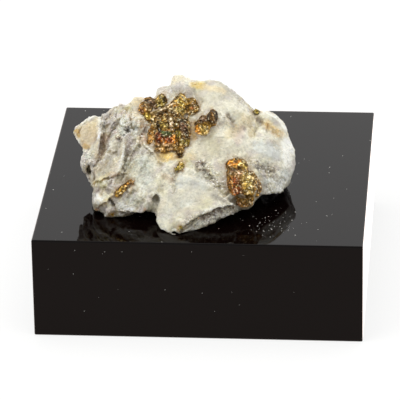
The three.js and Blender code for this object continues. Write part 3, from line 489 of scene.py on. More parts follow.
# height of the ridge or depth of the groove, half its width, and its line
quartzRelief = [
    (-0.4, 0.8, [(-18.4, 11.8), (-18.4, 10), (-18.8, 8)]),
    (0.35, 0.5, [(-18.3, 15.2), (-18.7, 13), (-19, 11.6)]),
    (-1.2, 0.9, [(-20.7, 5.6)]),
    (-0.5, 0.4, [(-20.7, 3.8)]),
    (-0.3, 0.5, [(-13.8, 8.6), (-14.2, 7), (-14.7, 5.8)]),
    (-0.9, 0.6, [(-15.1, 11.4)]),
    (0.3, 0.3, [(-16.6, 11.4), (-17.4, 9.2), (-18.2, 6.8)]),
    (-0.5, 0.6, [(-18, 2), (-16, 1.2)]),
    (-0.6, 0.5, [(-17, 0), (-16.2, -0.9)]),
    (-0.5, 0.4, [(-18.5, 16), (-18.2, 14.5), (-18.4, 13)]),
    (-0.3, 0.5, [(-12.8, 12.3), (-11, 12.4)]),
    (-0.3, 0.5, [(11.5, 14.5), (10.3, 13)]),
    (-0.5, 0.6, [(0.4, 7), (0.9, 5.5), (3, 3), (4.5, 1.2), (5.5, 1.4)]),
    (-0.35, 0.5, [(-0.7, 6.9), (-0.4, 5.8)]),
    (-0.4, 0.7, [(-4.6, 5.2), (-5, 2)]),
    (-0.8, 1.0, [(9.6, 4.4), (10.3, 2.6), (9.9, 0.6)]),
    (-1.1, 1.3, [(6.4, 0.2), (7.4, -0.9), (9.2, -0.4)]),
    (0.3, 1.0, [(-4, 4), (-1, 3.6), (2, 2.5)]),
    (-0.4, 0.5, [(5.2, 16), (6.3, 14.6)]),
    (-0.4, 0.6, [(11.2, 6.4), (12.6, 5.4), (14.2, 5.4)]),
]

# places worn smooth: half width and line
quartzSmooth = [
    (1.3, [(-2.4, 20.4), (-0.8, 20.8), (0.8, 20)]),
    (0.9, [(-5.6, 20.6), (-3.6, 20.6)]),
]

# broken edges: height, width of the face that rises to the edge, depth and width of the hollow beyond,
# and the edge, followed with the rising face on the right hand
quartzEdges = [
    (0.3, 1.0, 0.5, 1.5, [(-17.8, 15.8), (-18.2, 13.6), (-18.7, 11.2), (-19.2, 8.8), (-19.8, 6.8)]),
    (0.8, 2.9, 0.6, 1.4, [(-14, 12.3), (-14.15, 10.2), (-14.5, 8), (-15.1, 5.6), (-15.4, 4.9)]),
    (0.35, 1.2, 0.25, 0.9, [(-11.4, 11.4), (-13.6, 7.5), (-14.2, 6)]),
    (0.15, 1.4, 0.1, 1.0, [(-9.8, 8.4), (-11.2, 6), (-12, 4.2)]),
    (0.35, 1.6, 0.3, 1.0, [(-15.2, 4.9), (-17.9, 4.3), (-20, 3.3)]),
    (0.4, 1.6, 0.5, 1.0, [(-16.2, 1.2), (-17.2, 0.2), (-18.4, -0.9)]),
    (0.4, 1.0, 0.3, 0.8, [(-15.9, 16.8), (-16.2, 14.8), (-16.6, 13.2)]),
    (0.4, 1.2, 0.3, 0.8, [(-13.2, 17.4), (-13.4, 15.4), (-13.7, 14.4)]),
    (0.25, 2.0, 0.4, 1.3, [(7.6, 18.4), (9.2, 17), (10.3, 15), (10.2, 13.2)]),
    (0.5, 2.6, 0.9, 1.6, [(8, -0.9), (6.8, -0.8), (3.5, -1.3), (-1.2, -3.2), (-2.6, -4.8)]),
    (0.2, 1.4, 0.15, 1.0, [(-11, 0.4), (-12, -0.6), (-13.4, -1.1)]),
    (0.3, 0.8, 0.3, 0.9, [(-7.4, 7.2), (-8.4, 8.6), (-10.4, 10.4)]),
]

# tint, strength, half width and line
quartzMarks = [
    # the slab at the far left
    ("tan", 0.7, 1.9, [(-22.2, 12.6), (-20.6, 13.4)]),
    ("tan", 0.8, 1.2, [(-21.6, 11), (-19.8, 11.6), (-19.8, 14)]),
    ("cream", 0.6, 0.9, [(-20.6, 14.4), (-19.6, 13.6)]),
    ("honey", 0.6, 0.5, [(-23.3, 13), (-22.9, 12)]),
    ("mustard", 1.0, 0.5, [(-23.4, 13.1), (-22.95, 12)]),
    ("honey", 0.8, 0.6, [(-21.8, 10.1), (-21, 9.8)]),
    ("mustard", 0.6, 0.5, [(-21.6, 9.8), (-20.8, 10.2)]),
    # painted highlights: white lines along the slab's rims and down its right edge
    ("snow", 0.9, 0.3, [(-23.8, 13.2), (-23.4, 13.8), (-21, 15.2), (-19.7, 16), (-18.3, 15.7)]),
    ("snow", 0.6, 0.25, [(-23.8, 13), (-22.9, 11.2), (-22, 9.3)]),
    ("snow", 1.2, 0.75, [(-18.4, 15.2), (-18.7, 13.4), (-18.9, 11.6)]),
    ("cream", 0.8, 0.4, [(-18.9, 11.4), (-19.4, 9), (-19.8, 7.4)]),
    # the lumps and pits below the slab
    ("shade", 0.4, 1.3, [(-21.6, 8.2), (-20.8, 7)]),
    ("lilac", 0.8, 1.1, [(-21.8, 8.2), (-20.6, 7.2)]),
    ("mint", 0.7, 0.7, [(-21.2, 8.3), (-20.7, 7.6)]),
    ("shade", 0.7, 0.7, [(-21.6, 7), (-20.2, 6.8)]),
    # brown stain in the pit, with painted shade in its depth
    ("umber", 0.9, 1.0, [(-21.1, 5.6), (-20.2, 5.2)]),
    ("dark", 1.2, 0.8, [(-21, 5.5), (-20.3, 5.1)]),
    ("dark", 0.7, 0.3, [(-20.8, 3.9)]),
    ("snow", 0.5, 0.25, [(-22.5, 7.6), (-21.8, 5)]),
    # the groove beside the slab and the slats
    ("clay", 0.5, 1.2, [(-18, 11.6), (-18.6, 8.6)]),
    ("umber", 0.7, 0.7, [(-18.4, 10.6), (-18.7, 8.8), (-19.3, 7.4)]),
    ("pink", 0.6, 0.8, [(-17.8, 11.6), (-17.2, 11.4)]),
    ("pale", 0.8, 1.0, [(-15.5, 10.4), (-16.6, 8.2)]),
    ("grey", 0.4, 1.2, [(-15.5, 9.4), (-16.8, 7.4)]),
    ("pale", 0.5, 0.6, [(-17.2, 7.4), (-15.8, 6.6)]),
    ("shade", 0.45, 1.0, [(-15.4, 10.8), (-16.4, 8.6), (-17, 7.8)]),
    ("shade", 0.4, 0.8, [(-19, 6), (-17.6, 5.6)]),
    # painted highlights along the slat edges, and painted shade in the groove beside the long edge
    ("snow", 0.5, 0.25, [(-16.7, 11), (-18.1, 7.2)]),
    ("snow", 0.9, 0.28, [(-14, 12.2), (-14.15, 10.2), (-14.5, 8), (-15.1, 5.6)]),
    ("lilac", 0.8, 1.0, [(-13.2, 12), (-13, 9.4)]),
    ("shade", 0.7, 0.5, [(-13.8, 8.4), (-14.2, 7)]),
    ("umber", 0.8, 0.4, [(-14.5, 5.9), (-14.6, 5.4)]),
    # brown stain in a pit, with painted shade in its depth
    ("umber", 0.7, 0.6, [(-15.5, 11.6), (-14.8, 11.2)]),
    ("dark", 0.9, 0.35, [(-15.1, 11.3), (-14.9, 11)]),
    ("pink", 0.7, 0.45, [(-16.5, 13), (-15.6, 12.7)]),
    ("dark", 0.7, 0.3, [(-15.9, 13.5)]),
    # painted highlight along a broken edge
    ("snow", 0.5, 0.25, [(-11.5, 11.2), (-13.5, 7.6)]),
    ("grey", 0.6, 0.7, [(-11.4, 9.6), (-10.6, 8.8)]),
    # the grainy top at the left
    ("lilac", 0.7, 1.2, [(-17.6, 15.2), (-16.4, 14.4)]),
    ("shade", 0.6, 0.3, [(-18.3, 15.6), (-18.2, 14.4)]),
    ("snow", 0.6, 0.3, [(-18, 16), (-16.9, 16.3)]),
    ("snow", 1.0, 1.2, [(-14.6, 15), (-14, 13.6)]),
    ("mint", 0.6, 1.1, [(-14.8, 15), (-14.3, 13.2)]),
    ("green", 0.9, 0.8, [(-14.8, 16.8), (-13.4, 17.2)]),
    ("mustard", 0.6, 0.6, [(-14.6, 16.8), (-13.6, 17)]),
    ("olive", 0.5, 0.4, [(-14.4, 17), (-13.6, 17.2)]),
    ("pink", 0.5, 0.4, [(-14.8, 16.5), (-14.2, 16.4)]),
    ("clay", 0.7, 0.6, [(-13.2, 16), (-13, 14.2)]),
    ("snow", 0.8, 1.0, [(-12.3, 14), (-11.8, 12.4)]),
    ("ice", 0.7, 1.2, [(-12.4, 14.6), (-11.8, 12.6)]),
    ("dark", 0.7, 0.3, [(-12, 13.7)]),
    ("dark", 0.7, 0.28, [(-10.9, 12.5)]),
    ("cream", 0.8, 1.3, [(-12.6, 18.5), (-10.5, 18.6)]),
    ("clay", 0.5, 0.9, [(-11.2, 14.9), (-10.2, 13.6)]),
    # the lumps at the lower left
    ("cream", 0.3, 0.9, [(-19.2, 5.8), (-16, 5.8)]),
    ("grey", 0.4, 0.9, [(-19, 5.9), (-17, 5.6)]),
    ("straw", 0.4, 0.8, [(-20, 3.4), (-17.9, 4.3), (-16.6, 4.7)]),
    ("pink", 0.5, 0.5, [(-16.6, 4.7), (-15.2, 4.9)]),
    ("green", 0.9, 0.8, [(-19, 3.1), (-18.2, 2.7)]),
    ("olive", 0.3, 0.6, [(-19, 3.1), (-18.4, 2.8)]),
    ("umber", 0.8, 0.7, [(-19.9, 1.9), (-19, 1.7)]),
    ("lilac", 0.6, 1.0, [(-16.8, 3.3), (-16.2, 2.6)]),
    ("snow", 0.8, 1.1, [(-19.5, 0.4), (-18.8, -0.5)]),
    ("snow", 0.6, 0.3, [(-20.5, 1), (-20.5, -0.8)]),
    ("straw", 0.55, 0.6, [(-18.4, -0.9), (-17, 0.4), (-15.8, 1.6)]),
    ("rust", 0.9, 0.45, [(-19.3, -1.8)]),
    ("umber", 0.85, 0.45, [(-17, 0), (-16.2, -0.6), (-16.1, -1.6)]),
    ("lilac", 0.8, 0.9, [(-17.8, -2), (-16.9, -2)]),
    ("snow", 0.5, 0.3, [(-15.4, -2), (-14.4, -1.2)]),
    ("snow", 1.0, 0.9, [(-14.8, -1.2), (-13.2, -1.6)]),
    ("shade", 0.6, 0.4, [(-14.6, -2.6), (-12.8, -2.7)]),
    ("rust", 0.5, 0.35, [(-10.4, -1.8)]),
    ("dark", 0.9, 0.5, [(-9, -2.2)]),
    ("ice", 0.6, 1.4, [(-10.6, 7.4), (-10.2, 3.6)]),
    ("mint", 0.6, 2.0, [(-12.4, 6), (-11, 3), (-10.6, 7.5)]),
    ("mint", 0.5, 1.5, [(-13.6, 0.6), (-12, 0.2)]),
    ("snow", 0.4, 1.2, [(-11.4, 3), (-10.6, 1)]),
    ("clay", 0.5, 0.5, [(-13.6, 3.6), (-12.4, 2.4), (-13.6, 1)]),
    # the crown
    ("snow", 0.7, 1.6, [(-5, 22), (-2.4, 22.6)]),
    ("cream", 0.5, 1.2, [(-5, 22.4), (-3, 23)]),
    ("lilac", 0.6, 1.3, [(-7.4, 20.6), (-6.2, 20.2)]),
    ("tan", 0.8, 0.7, [(-7.6, 19.7), (-7, 20.1)]),
    ("mustard", 0.35, 0.6, [(-7.6, 19.6), (-6.9, 19.9)]),
    ("grey", 0.5, 0.3, [(-8.2, 19.4), (-7.8, 21), (-6.4, 21.7)]),
    ("straw", 0.8, 0.6, [(-5.8, 21.6), (-5.4, 22.8)]),
    ("lilac", 0.5, 1.2, [(-4.2, 21.2), (-2.4, 20.6)]),
    ("straw", 0.9, 0.9, [(-1.1, 21.6), (0.4, 21.5)]),
    ("mustard", 0.25, 0.8, [(-0.9, 21.5), (0.6, 21.4)]),
    ("cream", 0.8, 0.8, [(1, 21.3), (4.2, 20.6)]),
    ("milk", 0.7, 1.8, [(1, 19), (4, 18), (7, 18)]),
    ("grey", 0.4, 0.3, [(4.4, 21.4), (9.2, 16.9)]),
    # round the ore
    ("clay", 0.9, 0.9, [(-1.6, 14.4), (-1, 11.8)]),
    ("honey", 0.9, 0.6, [(-1.6, 13.4), (-1.1, 12)]),
    ("mustard", 0.9, 0.6, [(-1.6, 13.4), (-1.2, 12.4)]),
    ("mustard", 0.7, 0.7, [(-0.9, 14.6), (-0.8, 12.8), (-1.2, 11.6)]),
    ("umber", 0.4, 0.4, [(-1.5, 13.4), (-1.3, 12.6)]),
    ("clay", 0.8, 0.9, [(-10.8, 13.6), (-10.7, 11)]),
    ("pink", 0.6, 0.4, [(-10.6, 12.6), (-10.4, 11.2)]),
    ("clay", 0.8, 0.8, [(-9.8, 15.2), (-9.4, 14.2)]),
    ("olive", 0.7, 0.25, [(-10.6, 10.3), (-8.8, 8.7)]),
    ("snow", 0.7, 0.25, [(-10.4, 10.5), (-8.3, 8.5), (-7.6, 7.3)]),
    ("shade", 0.5, 0.3, [(-1.1, 21), (-0.8, 19.6)]),
    ("straw", 0.8, 1.0, [(-6.8, 7.6), (-5.2, 8.6)]),
    ("honey", 1.1, 1.0, [(-7.2, 8.7), (-5.6, 8.4)]),
    ("butter", 1.0, 0.9, [(-7, 8.9), (-5.9, 8.5)]),
    ("cream", 0.8, 0.6, [(-8.3, 8.9), (-7.5, 7.4)]),
    ("straw", 0.4, 1.1, [(-4.4, 8), (-2, 8.3)]),
    ("tan", 0.4, 1.0, [(-2.4, 8.2), (-1, 8)]),
    ("green", 0.8, 0.9, [(-3.6, 7.6), (-2.2, 6.8)]),
    ("mustard", 0.9, 0.75, [(-3.9, 7.8), (-3, 7)]),
    ("clay", 0.5, 0.5, [(-4.6, 9.6), (-4.8, 8)]),
    # painted highlight
    ("snow", 0.9, 0.3, [(-2.6, 5.9), (-2.2, 5.9)]),
    ("shade", 0.6, 0.4, [(-4.8, 5.6), (-3.4, 5.5)]),
    ("milk", 0.5, 1.2, [(-0.4, 10.4), (1.4, 9.4)]),
    # the middle and the valley
    ("cream", 0.6, 1.3, [(5.6, 12.4), (8.8, 15.4)]),
    ("pink", 0.4, 0.9, [(8, 13.4), (7, 11)]),
    ("green", 0.4, 1.0, [(9.4, 15.4), (9.8, 12.4)]),
    ("tan", 0.6, 0.9, [(9.2, 14.8), (9.7, 12.4)]),
    ("tan", 0.6, 0.6, [(9, 18.2), (9.6, 16.2), (10.4, 14.9)]),
    ("umber", 0.5, 0.6, [(5.2, 16), (5.8, 15), (6.4, 14.4)]),
    ("ice", 0.6, 1.8, [(-4, 3.4), (0, 2.6), (-3, 0)]),
    ("green", 0.25, 1.3, [(-7.4, 3.4), (-6.6, 1.4)]),
    ("ice", 0.4, 1.4, [(-6.5, -3), (-5, 0.6)]),
    ("pale", 0.5, 1.6, [(-6, -1), (-2, 1.6), (1, 0.6)]),
    ("milk", 0.8, 1.5, [(5.2, 9.6), (6.8, 8.6)]),
    ("pale", 0.6, 2.0, [(0.2, 9.8), (2, 9)]),
    ("green", 0.2, 1.4, [(1.4, 11.4), (2.6, 9.8)]),
    ("umber", 0.8, 0.9, [(0.4, 6.8), (1.1, 5.4)]),
    ("shade", 0.7, 0.5, [(1.2, 5), (2.2, 4.2), (3.9, 2.4), (5.2, 1.2)]),
    ("dark", 0.7, 0.35, [(0.3, 6.5), (0.9, 5.6)]),
    ("shade", 0.8, 1.1, [(3, 0.8), (4.4, 0)]),
    ("green", 0.4, 1.1, [(-0.6, -1.6), (1.4, -0.6)]),
    ("shade", 0.6, 0.5, [(-5, 5), (-5, 3.6)]),
    ("clay", 0.4, 0.6, [(-6.6, 4.6), (-5.4, 3.4)]),
    # the lobe at the right
    # painted highlight along the lobe's rim
    ("snow", 0.8, 0.6, [(11.6, 17), (14.5, 15.4), (16.6, 12.8), (17.4, 9)]),
    ("cream", 0.8, 1.2, [(12.4, 14.2), (14, 13), (15.6, 12)]),
    ("honey", 0.5, 0.8, [(12.6, 14), (14, 13), (15.4, 12.3)]),
    ("umber", 0.7, 0.5, [(10.2, 16.4), (10.8, 15.2), (11.4, 14.8)]),
    ("olive", 0.5, 0.6, [(10.4, 16), (11.3, 15.3)]),
    ("ice", 0.8, 2.0, [(11.4, 10), (14, 9)]),
    # painted light on the lobe's right side, which turns away from the lamps
    ("snow", 0.9, 1.6, [(16.2, 11), (16.4, 7)]),
    ("shade", 0.8, 1.1, [(11, 6.4), (13.2, 5.8)]),
    # painted light on the lobe's lower faces, which lie in shade
    ("ice", 0.9, 1.4, [(12.6, 3), (15, 3), (16.4, 4.8)]),
    ("snow", 0.6, 1.2, [(13.4, 2.8), (15.2, 3)]),
    ("snow", 0.6, 0.4, [(14.4, 2.2), (16, 3.2), (17.2, 5.4)]),
    # the toe and its shaded underside
    ("green", 0.5, 0.9, [(-5.4, -5), (-3, -5.4)]),
    ("milk", 0.5, 0.9, [(-7, -4), (-6, -5)]),
    ("clay", 0.4, 0.7, [(0.4, -3), (3.4, -2)]),
    ("umber", 0.8, 0.8, [(1, -3.2), (3.5, -2), (6.6, -1.4)]),
    ("shade", 0.7, 0.8, [(1, -4.6), (4.6, -2.8), (7, -1.6)]),
]

# how coarse the broken grain is, from 0 to 1, half width and line
quartzGrit = [
    (0.6, 3.0, [(-16.5, 15), (-12, 14)]),
    (0.3, 3.0, [(-17.5, 10), (-17, 5), (-18, 1)]),
    (0.5, 2.0, [(-12.5, 11), (-12.5, 6)]),
    (0.5, 2.5, [(-14.5, 0), (-10.5, 1)]),
    (0.3, 2.0, [(-10.5, 6), (-9.5, 2)]),
    (0.6, 1.2, [(-13.2, 12.4), (-13.4, 9)]),
    (0.7, 0.8, [(-15.8, 13.2), (-15, 11.4)]),
    (0.05, 1.8, [(-21.6, 13), (-20.6, 11)]),
    (0.8, 1.4, [(-21.6, 8.5), (-20.8, 5)]),
    (0.1, 3.5, [(-4, 0), (-1, 1.5), (2, -0.5)]),
    (0.1, 2.5, [(-6.5, -3), (-4.5, -4)]),
    (0.7, 0.9, [(-5, -5.8), (-2.5, -5.2)]),
    (0.05, 4.0, [(2, 19.5), (6, 17)]),
    (0.1, 3.0, [(2, 10.5), (7.5, 11.5)]),
    (0.1, 3.0, [(13, 9.5), (16, 9)]),
    (0.05, 1.2, [(12, 16.6), (15.5, 13.6), (16.6, 11)]),
    (0.9, 1.5, [(0.6, 6.6), (2.6, 3.6), (4.5, 1.6)]),
    (0.8, 0.9, [(-0.8, 6.8), (1.4, 6.4)]),
    (0.9, 1.9, [(11, 6.2), (13.4, 5.2)]),
    (0.6, 1.6, [(12.5, 2.4), (15.4, 3)]),
    (0.9, 1.5, [(-1.5, -4.2), (3, -2.8), (6.5, -1.6)]),
    (0.4, 1.2, [(3, 16), (6, 14.6)]),
    (0.4, 1.0, [(-5, 5.6), (-5, 2)]),
]


def quartzMaterial():
    material, tree, shader, coords = newMaterial("milkyQuartz")
    tint = addNode(tree, "Attribute", attribute_name="stainAndPaintedLight").outputs["Color"]
    grit = addNode(tree, "Attribute", attribute_name="grit").outputs["Fac"]
    shade, tilt = addFacets(tree, coords, quartzFinish["grain"])
    fineShade, fineTilt = addFacets(tree, coords, quartzFinish["fineGrain"])
    milk = addNode(tree, "TexNoise", {"Vector": coords, "Scale": quartzFinish["cloudScale"], "Detail": 3.0})
    cloud = addMath(tree, "MULTIPLY_ADD", milk.outputs["Fac"], 0.36, 0.82)
    # painted light and shade on the grains: each grain is made lighter or darker, more where the grit is
    # coarse, and some become painted glints
    both = addMath(tree, "ADD", shade, fineShade)
    swing = addMath(tree, "MULTIPLY", addMath(tree, "SUBTRACT", both, 1.0),
                    addMath(tree, "MULTIPLY_ADD", grit, 0.5, 0.1))
    light = addMath(tree, "ADD", swing, cloud)
    grained = addNode(tree, "VectorMath", {0: tint, 3: light}, operation="SCALE")
    bright = addMath(tree, "GREATER_THAN", fineShade, quartzFinish["glintsAbove"])
    glint = addMath(tree, "MULTIPLY", bright, grit)
    lit = mixColour(tree, glint, grained.outputs[0], quartzFinish["glint"])
    tree.links.new(lit, shader.inputs["Base Color"])
    rough = addNode(tree, "MapRange", {"Value": fineShade, "To Min": 0.25, "To Max": 0.55})
    tree.links.new(rough.outputs[0], shader.inputs["Roughness"])
    broken = addMath(tree, "MULTIPLY", tilt, grit)
    fineBroken = addMath(tree, "MULTIPLY", fineTilt, addMath(tree, "ADD", grit, 0.1))
    coarse = addNode(tree, "Bump", {"Height": broken, "Strength": quartzFinish["relief"], "Distance": 1.0})
    fine = addNode(tree, "Bump", {"Height": fineBroken, "Strength": quartzFinish["fineRelief"],
                                  "Distance": 1.0, "Normal": coarse.outputs[0]})
    tree.links.new(fine.outputs[0], shader.inputs["Normal"])
    shader.inputs["IOR"].default_value = quartzFinish["ior"]
    shader.inputs["Subsurface Weight"].default_value = 1.0
    shader.inputs["Subsurface Radius"].default_value = quartzFinish["bleedColour"]
    shader.inputs["Subsurface Scale"].default_value = quartzFinish["bleed"]
    return material


def closedStone():  # the CAD stone with its sockets, pits and cracks filled, ready to be carved
    bm = bmesh.new()
    addSolid(bm, "quartz_matrix", quartz["closing"])
    for name in crystalNodes:
        addSolid(bm, name, quartz["closing"] + quartz["socketSwell"], -offFace * quartz["socketPush"])
    swollen = voxelMesh(bm, quartz["voxel"] * quartz["coarser"])
    points = relaxed(readPoints(swollen), readEdges(swollen), 1)
    writePoints(swollen, points)
    writePoints(swollen, points - readNormals(swollen) * quartz["closing"])
    bm = bmesh.new()
    bm.from_mesh(swollen)
    bpy.data.meshes.remove(swollen)
    return voxelMesh(bm, quartz["voxel"])


def toLine(spots, line):  # how far each spot is from a line, and whether it lies on its right hand
    nearest = np.full(len(spots), 99.0)
    right = np.zeros(len(spots), dtype=bool)
    for start, end in zip(line, line[1:]):
        way = np.subtract(end, start)
        away = spots - start
        share = np.clip(away @ way / (way @ way), 0, 1)
        gap = np.hypot(*(away - share[:, None] * way).T)
        closer = gap < nearest
        nearest = np.where(closer, gap, nearest)
        right = np.where(closer, way[0] * away[:, 1] - way[1] * away[:, 0] < 0, right)
    return nearest, right


def breakEdges(points, normals, waver):  # faces that rise to an edge and drop off beyond it
    fine = noiseOf(points, 0.45 * mm, 6) * 0.15
    spots = landmarksOf(points) + np.stack([0.8 * waver + fine, fine - 0.8 * waver], axis=1)
    lift = np.zeros(len(points))
    for height, run, depth, reach, line in quartzEdges:
        gap, right = toLine(spots, line)
        ends = 1 - smoothStep(gap, 0.0, max(run, reach))
        face = height * np.clip(1 - gap / run, 0, 1)
        drop = height * np.clip(1 - gap / 0.3, 0, 1) - depth * smoothStep(gap, 0.1, 0.4) * ends
        lift += np.where(right, face, drop)
    facing = smoothStep(normals @ np.array(toViewer), 0.1, 0.35)
    return points + np.array(toViewer) * (lift * facing * mm)[:, None]


def alongSlats(points):  # points drawn together along the slats at the left, and how much they show
    right, up = quartz["slatSlope"]
    along = np.array((across * right + upward * up).normalized())
    squeezed = points - np.outer(points @ along, along) * quartz["slatStretch"]
    return squeezed, smoothStep(-landmarksOf(points)[:, 0], quartz["slatsFrom"], quartz["slatsFull"])


def quartzMesh():
    mesh = closedStone()
    edges = readEdges(mesh)
    points = relaxed(readPoints(mesh), edges, 1)
    writePoints(mesh, points)
    waver = noiseOf(points, 0.9 * mm, 4) * 0.3
    strokes = Strokes(points, mesh)
    grit = np.full(len(points), quartz["grit"])
    for level, width, along in quartzGrit:
        share = strokes.distance(along, width * mm * 1.6) / (width * mm) + waver
        grit += (level - grit) * (1 - smoothStep(share, 0.5, 1.2))
    worn = relaxed(points, edges, quartz["wear"])
    for width, along in quartzSmooth:
        share = 1 - smoothStep(strokes.distance(along, width * mm * 1.6) / (width * mm), 0.5, 1.4)
        points = points + (worn - points) * share[:, None]
    writePoints(mesh, points)
    points = breakEdges(points, readNormals(mesh), waver)
    points = carve(points, readNormals(mesh), strokes, quartzRelief, waver)
    writePoints(mesh, points)
    normals = readNormals(mesh)
    lift = np.zeros(len(points))
    for seed, (size, height) in enumerate(quartz["lumps"]):
        lift += noiseOf(points, size, seed + 1) * height
    for seed, (size, slope, height) in enumerate(quartz["faces"]):
        faces = facetsOf(points, size, seed + 1, slope)
        lift += (faces - faces.mean()) * height * (0.12 + grit)
    squeezed, slatted = alongSlats(points)
    for seed, (size, slope, height) in enumerate(quartz["slats"]):
        faces = facetsOf(squeezed, size, seed + 31, slope)
        lift += (faces - faces.mean()) * height * slatted * (0.3 + grit)
    points = points + normals * lift[:, None]
    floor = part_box("quartz_matrix")[0].z
    points[:, 2] = np.maximum(points[:, 2], floor)
    writePoints(mesh, points)
    layer = mesh.attributes.new("grit", "FLOAT", "POINT")
    layer.data.foreach_set("value", grit)
    return mesh, grit


def oreDistance(points, reach):  # from each point to the nearest ore, up to reach
    bm = bmesh.new()
    for name in crystalNodes:
        addSolid(bm, name)
    tree = BVHTree.FromBMesh(bm)
    bm.free()
    found = [tree.find_nearest(Vector(p), reach)[3] for p in points]
    return np.array([reach if gap is None else gap for gap in found])


def colourAndShadeQuartz(mesh, grit):
    points = readPoints(mesh)
    edges = readEdges(mesh)
    strokes = Strokes(points, mesh)
    cloud = noiseOf(points, 4 * mm, 11)
    patch = noiseOf(points, 1.5 * mm, 12)
    fine = noiseOf(points, 0.6 * mm, 15)
    squeezed, slatted = alongSlats(points)
    streak = noiseOf(squeezed, 0.9 * mm, 16) * slatted
    grain = grainsOf(points, 0.45 * mm, 14)
    colours = np.array([linear(quartzTints["pale"])] * len(points))
    for tint, cover in (("milk", smoothStep(cloud + 0.3 * patch, -0.2, 0.3)),
                        ("mint", smoothStep(patch - 0.6 * cloud, 0.0, 0.5) * 0.7),
                        ("grey", smoothStep(-cloud + 0.5 * fine, 0.1, 0.5) * 0.7),
                        ("cream", smoothStep(patch, 0.1, 0.6) * 0.5),
                        ("snow", smoothStep(fine + 0.4 * patch, 0.15, 0.5) * 0.35),
                        ("shade", smoothStep(-fine - 0.3 * patch, 0.2, 0.55) * 0.25),
                        ("lilac", smoothStep(-patch + 0.3 * fine, 0.1, 0.5) * 0.5),
                        ("lilac", smoothStep(streak, 0.1, 0.35) * 0.6),
                        ("tan", smoothStep(-streak, 0.1, 0.45) * 0.4)):
        colours += (np.array(linear(quartzTints[tint])) - colours) * cover[:, None]
    ragged = raggedOf(points, 13) * (0.5 + grit)
    patchy = 1 + 1.5 * grit * (grain - 0.45)
    paint(colours, strokes, quartzMarks, quartzTints, ragged, np.clip(patchy, 0, 1.3))
    beside = oreDistance(points, quartz["halos"][0][1])
    for tint, width, strength in quartz["halos"]:
        halo = (1 - smoothStep(beside / width + 0.6 * ragged, 0.1, 1.0)) * strength * (0.6 + 0.7 * grain)
        colours += (np.array(linear(quartzTints[tint])) - colours) * np.clip(halo, 0, 1)[:, None]
    # painted shade: the colour is darkened in hollows, on faces that turn down, and most on faces that look
    # straight down
    smooth = relaxed(points, edges, 24)
    hollow = np.einsum("ij,ij->i", smooth - points, readNormals(mesh)) / mm
    paintedShade = smoothStep(hollow, 0.02, 0.16) * 0.35
    down = -readNormals(mesh)[:, 2]
    under = smoothStep(down, 0.1, 0.55) * quartz["underside"]
    colours *= 1 - np.maximum(paintedShade, under)[:, None] * np.array([0.8, 0.95, 1.2]) / quartz["paintedShade"]
    colours *= 1 - smoothStep(down, 0.4, 0.8)[:, None] * quartz["beneath"]
    storeTint(mesh, "stainAndPaintedLight", colours)


def makeQuartz():
    mesh, grit = quartzMesh()
    print("quartz triangles", sum(len(face.vertices) - 2 for face in mesh.polygons))
    colourAndShadeQuartz(mesh, grit)
    mesh.materials.append(quartzMaterial())
    newPiece("quartzMatrix", mesh, "milky_quartz", "quartz_matrix")


makeQuartz()
print("quartz made")


# The chalcopyrite

oreTints = {
    "gold": (206, 170, 78),
    # the pale gold is also used for painted glints
    "paleGoldGlint": (244, 226, 160),
    "olive": (156, 140, 62),
    "brown": (150, 118, 56),
    "umber": (112, 84, 40),
    "dark": (44, 32, 16),
    "plum": (112, 86, 66),
    "rosy": (186, 154, 118),
    "beige": (228, 206, 150),
    "cream": (226, 208, 176),
    "orange": (240, 164, 62),
    "amber": (182, 136, 66),
    "red": (130, 60, 20),
    "teal": (74, 92, 50),
    "slate": (104, 98, 68),
    "sage": (190, 172, 100),
}

# light of the darkest and brightest grains, and how much less green and blue the dark ones keep; the pits
# get painted shade and the sparks painted glints
oreShade = {"low": 0.8, "span": 0.4, "warmth": np.array([1.0, 1.05, 1.35]), "pit": 0.35, "spark": 2.2,
            "pitsBelow": 0.07, "sparksAbove": 0.92}
oreSwell = 0.12 * mm
oreClosing = 0.35 * mm
oreCoarser = 1.2  # voxels of the first skin, against the last one's
oreLift = 0.42  # how far the facets stand out

oreFinish = {
    "grain": 0.34 * mm,
    "fineGrain": 0.22 * mm,
    # the dark and bright facets are painted facet shade and highlights, and the glint is a painted glint
    "darkFacet": (0.62, 0.52, 0.28, 1),
    "brightFacet": (1.55, 1.62, 2.1, 1),
    "glint": (0.84, 0.77, 0.54, 1),
    "mostGlint": 0.45,
    "relief": 0.3,
    "metallic": 0.75,
    "specular": 0.25,
}

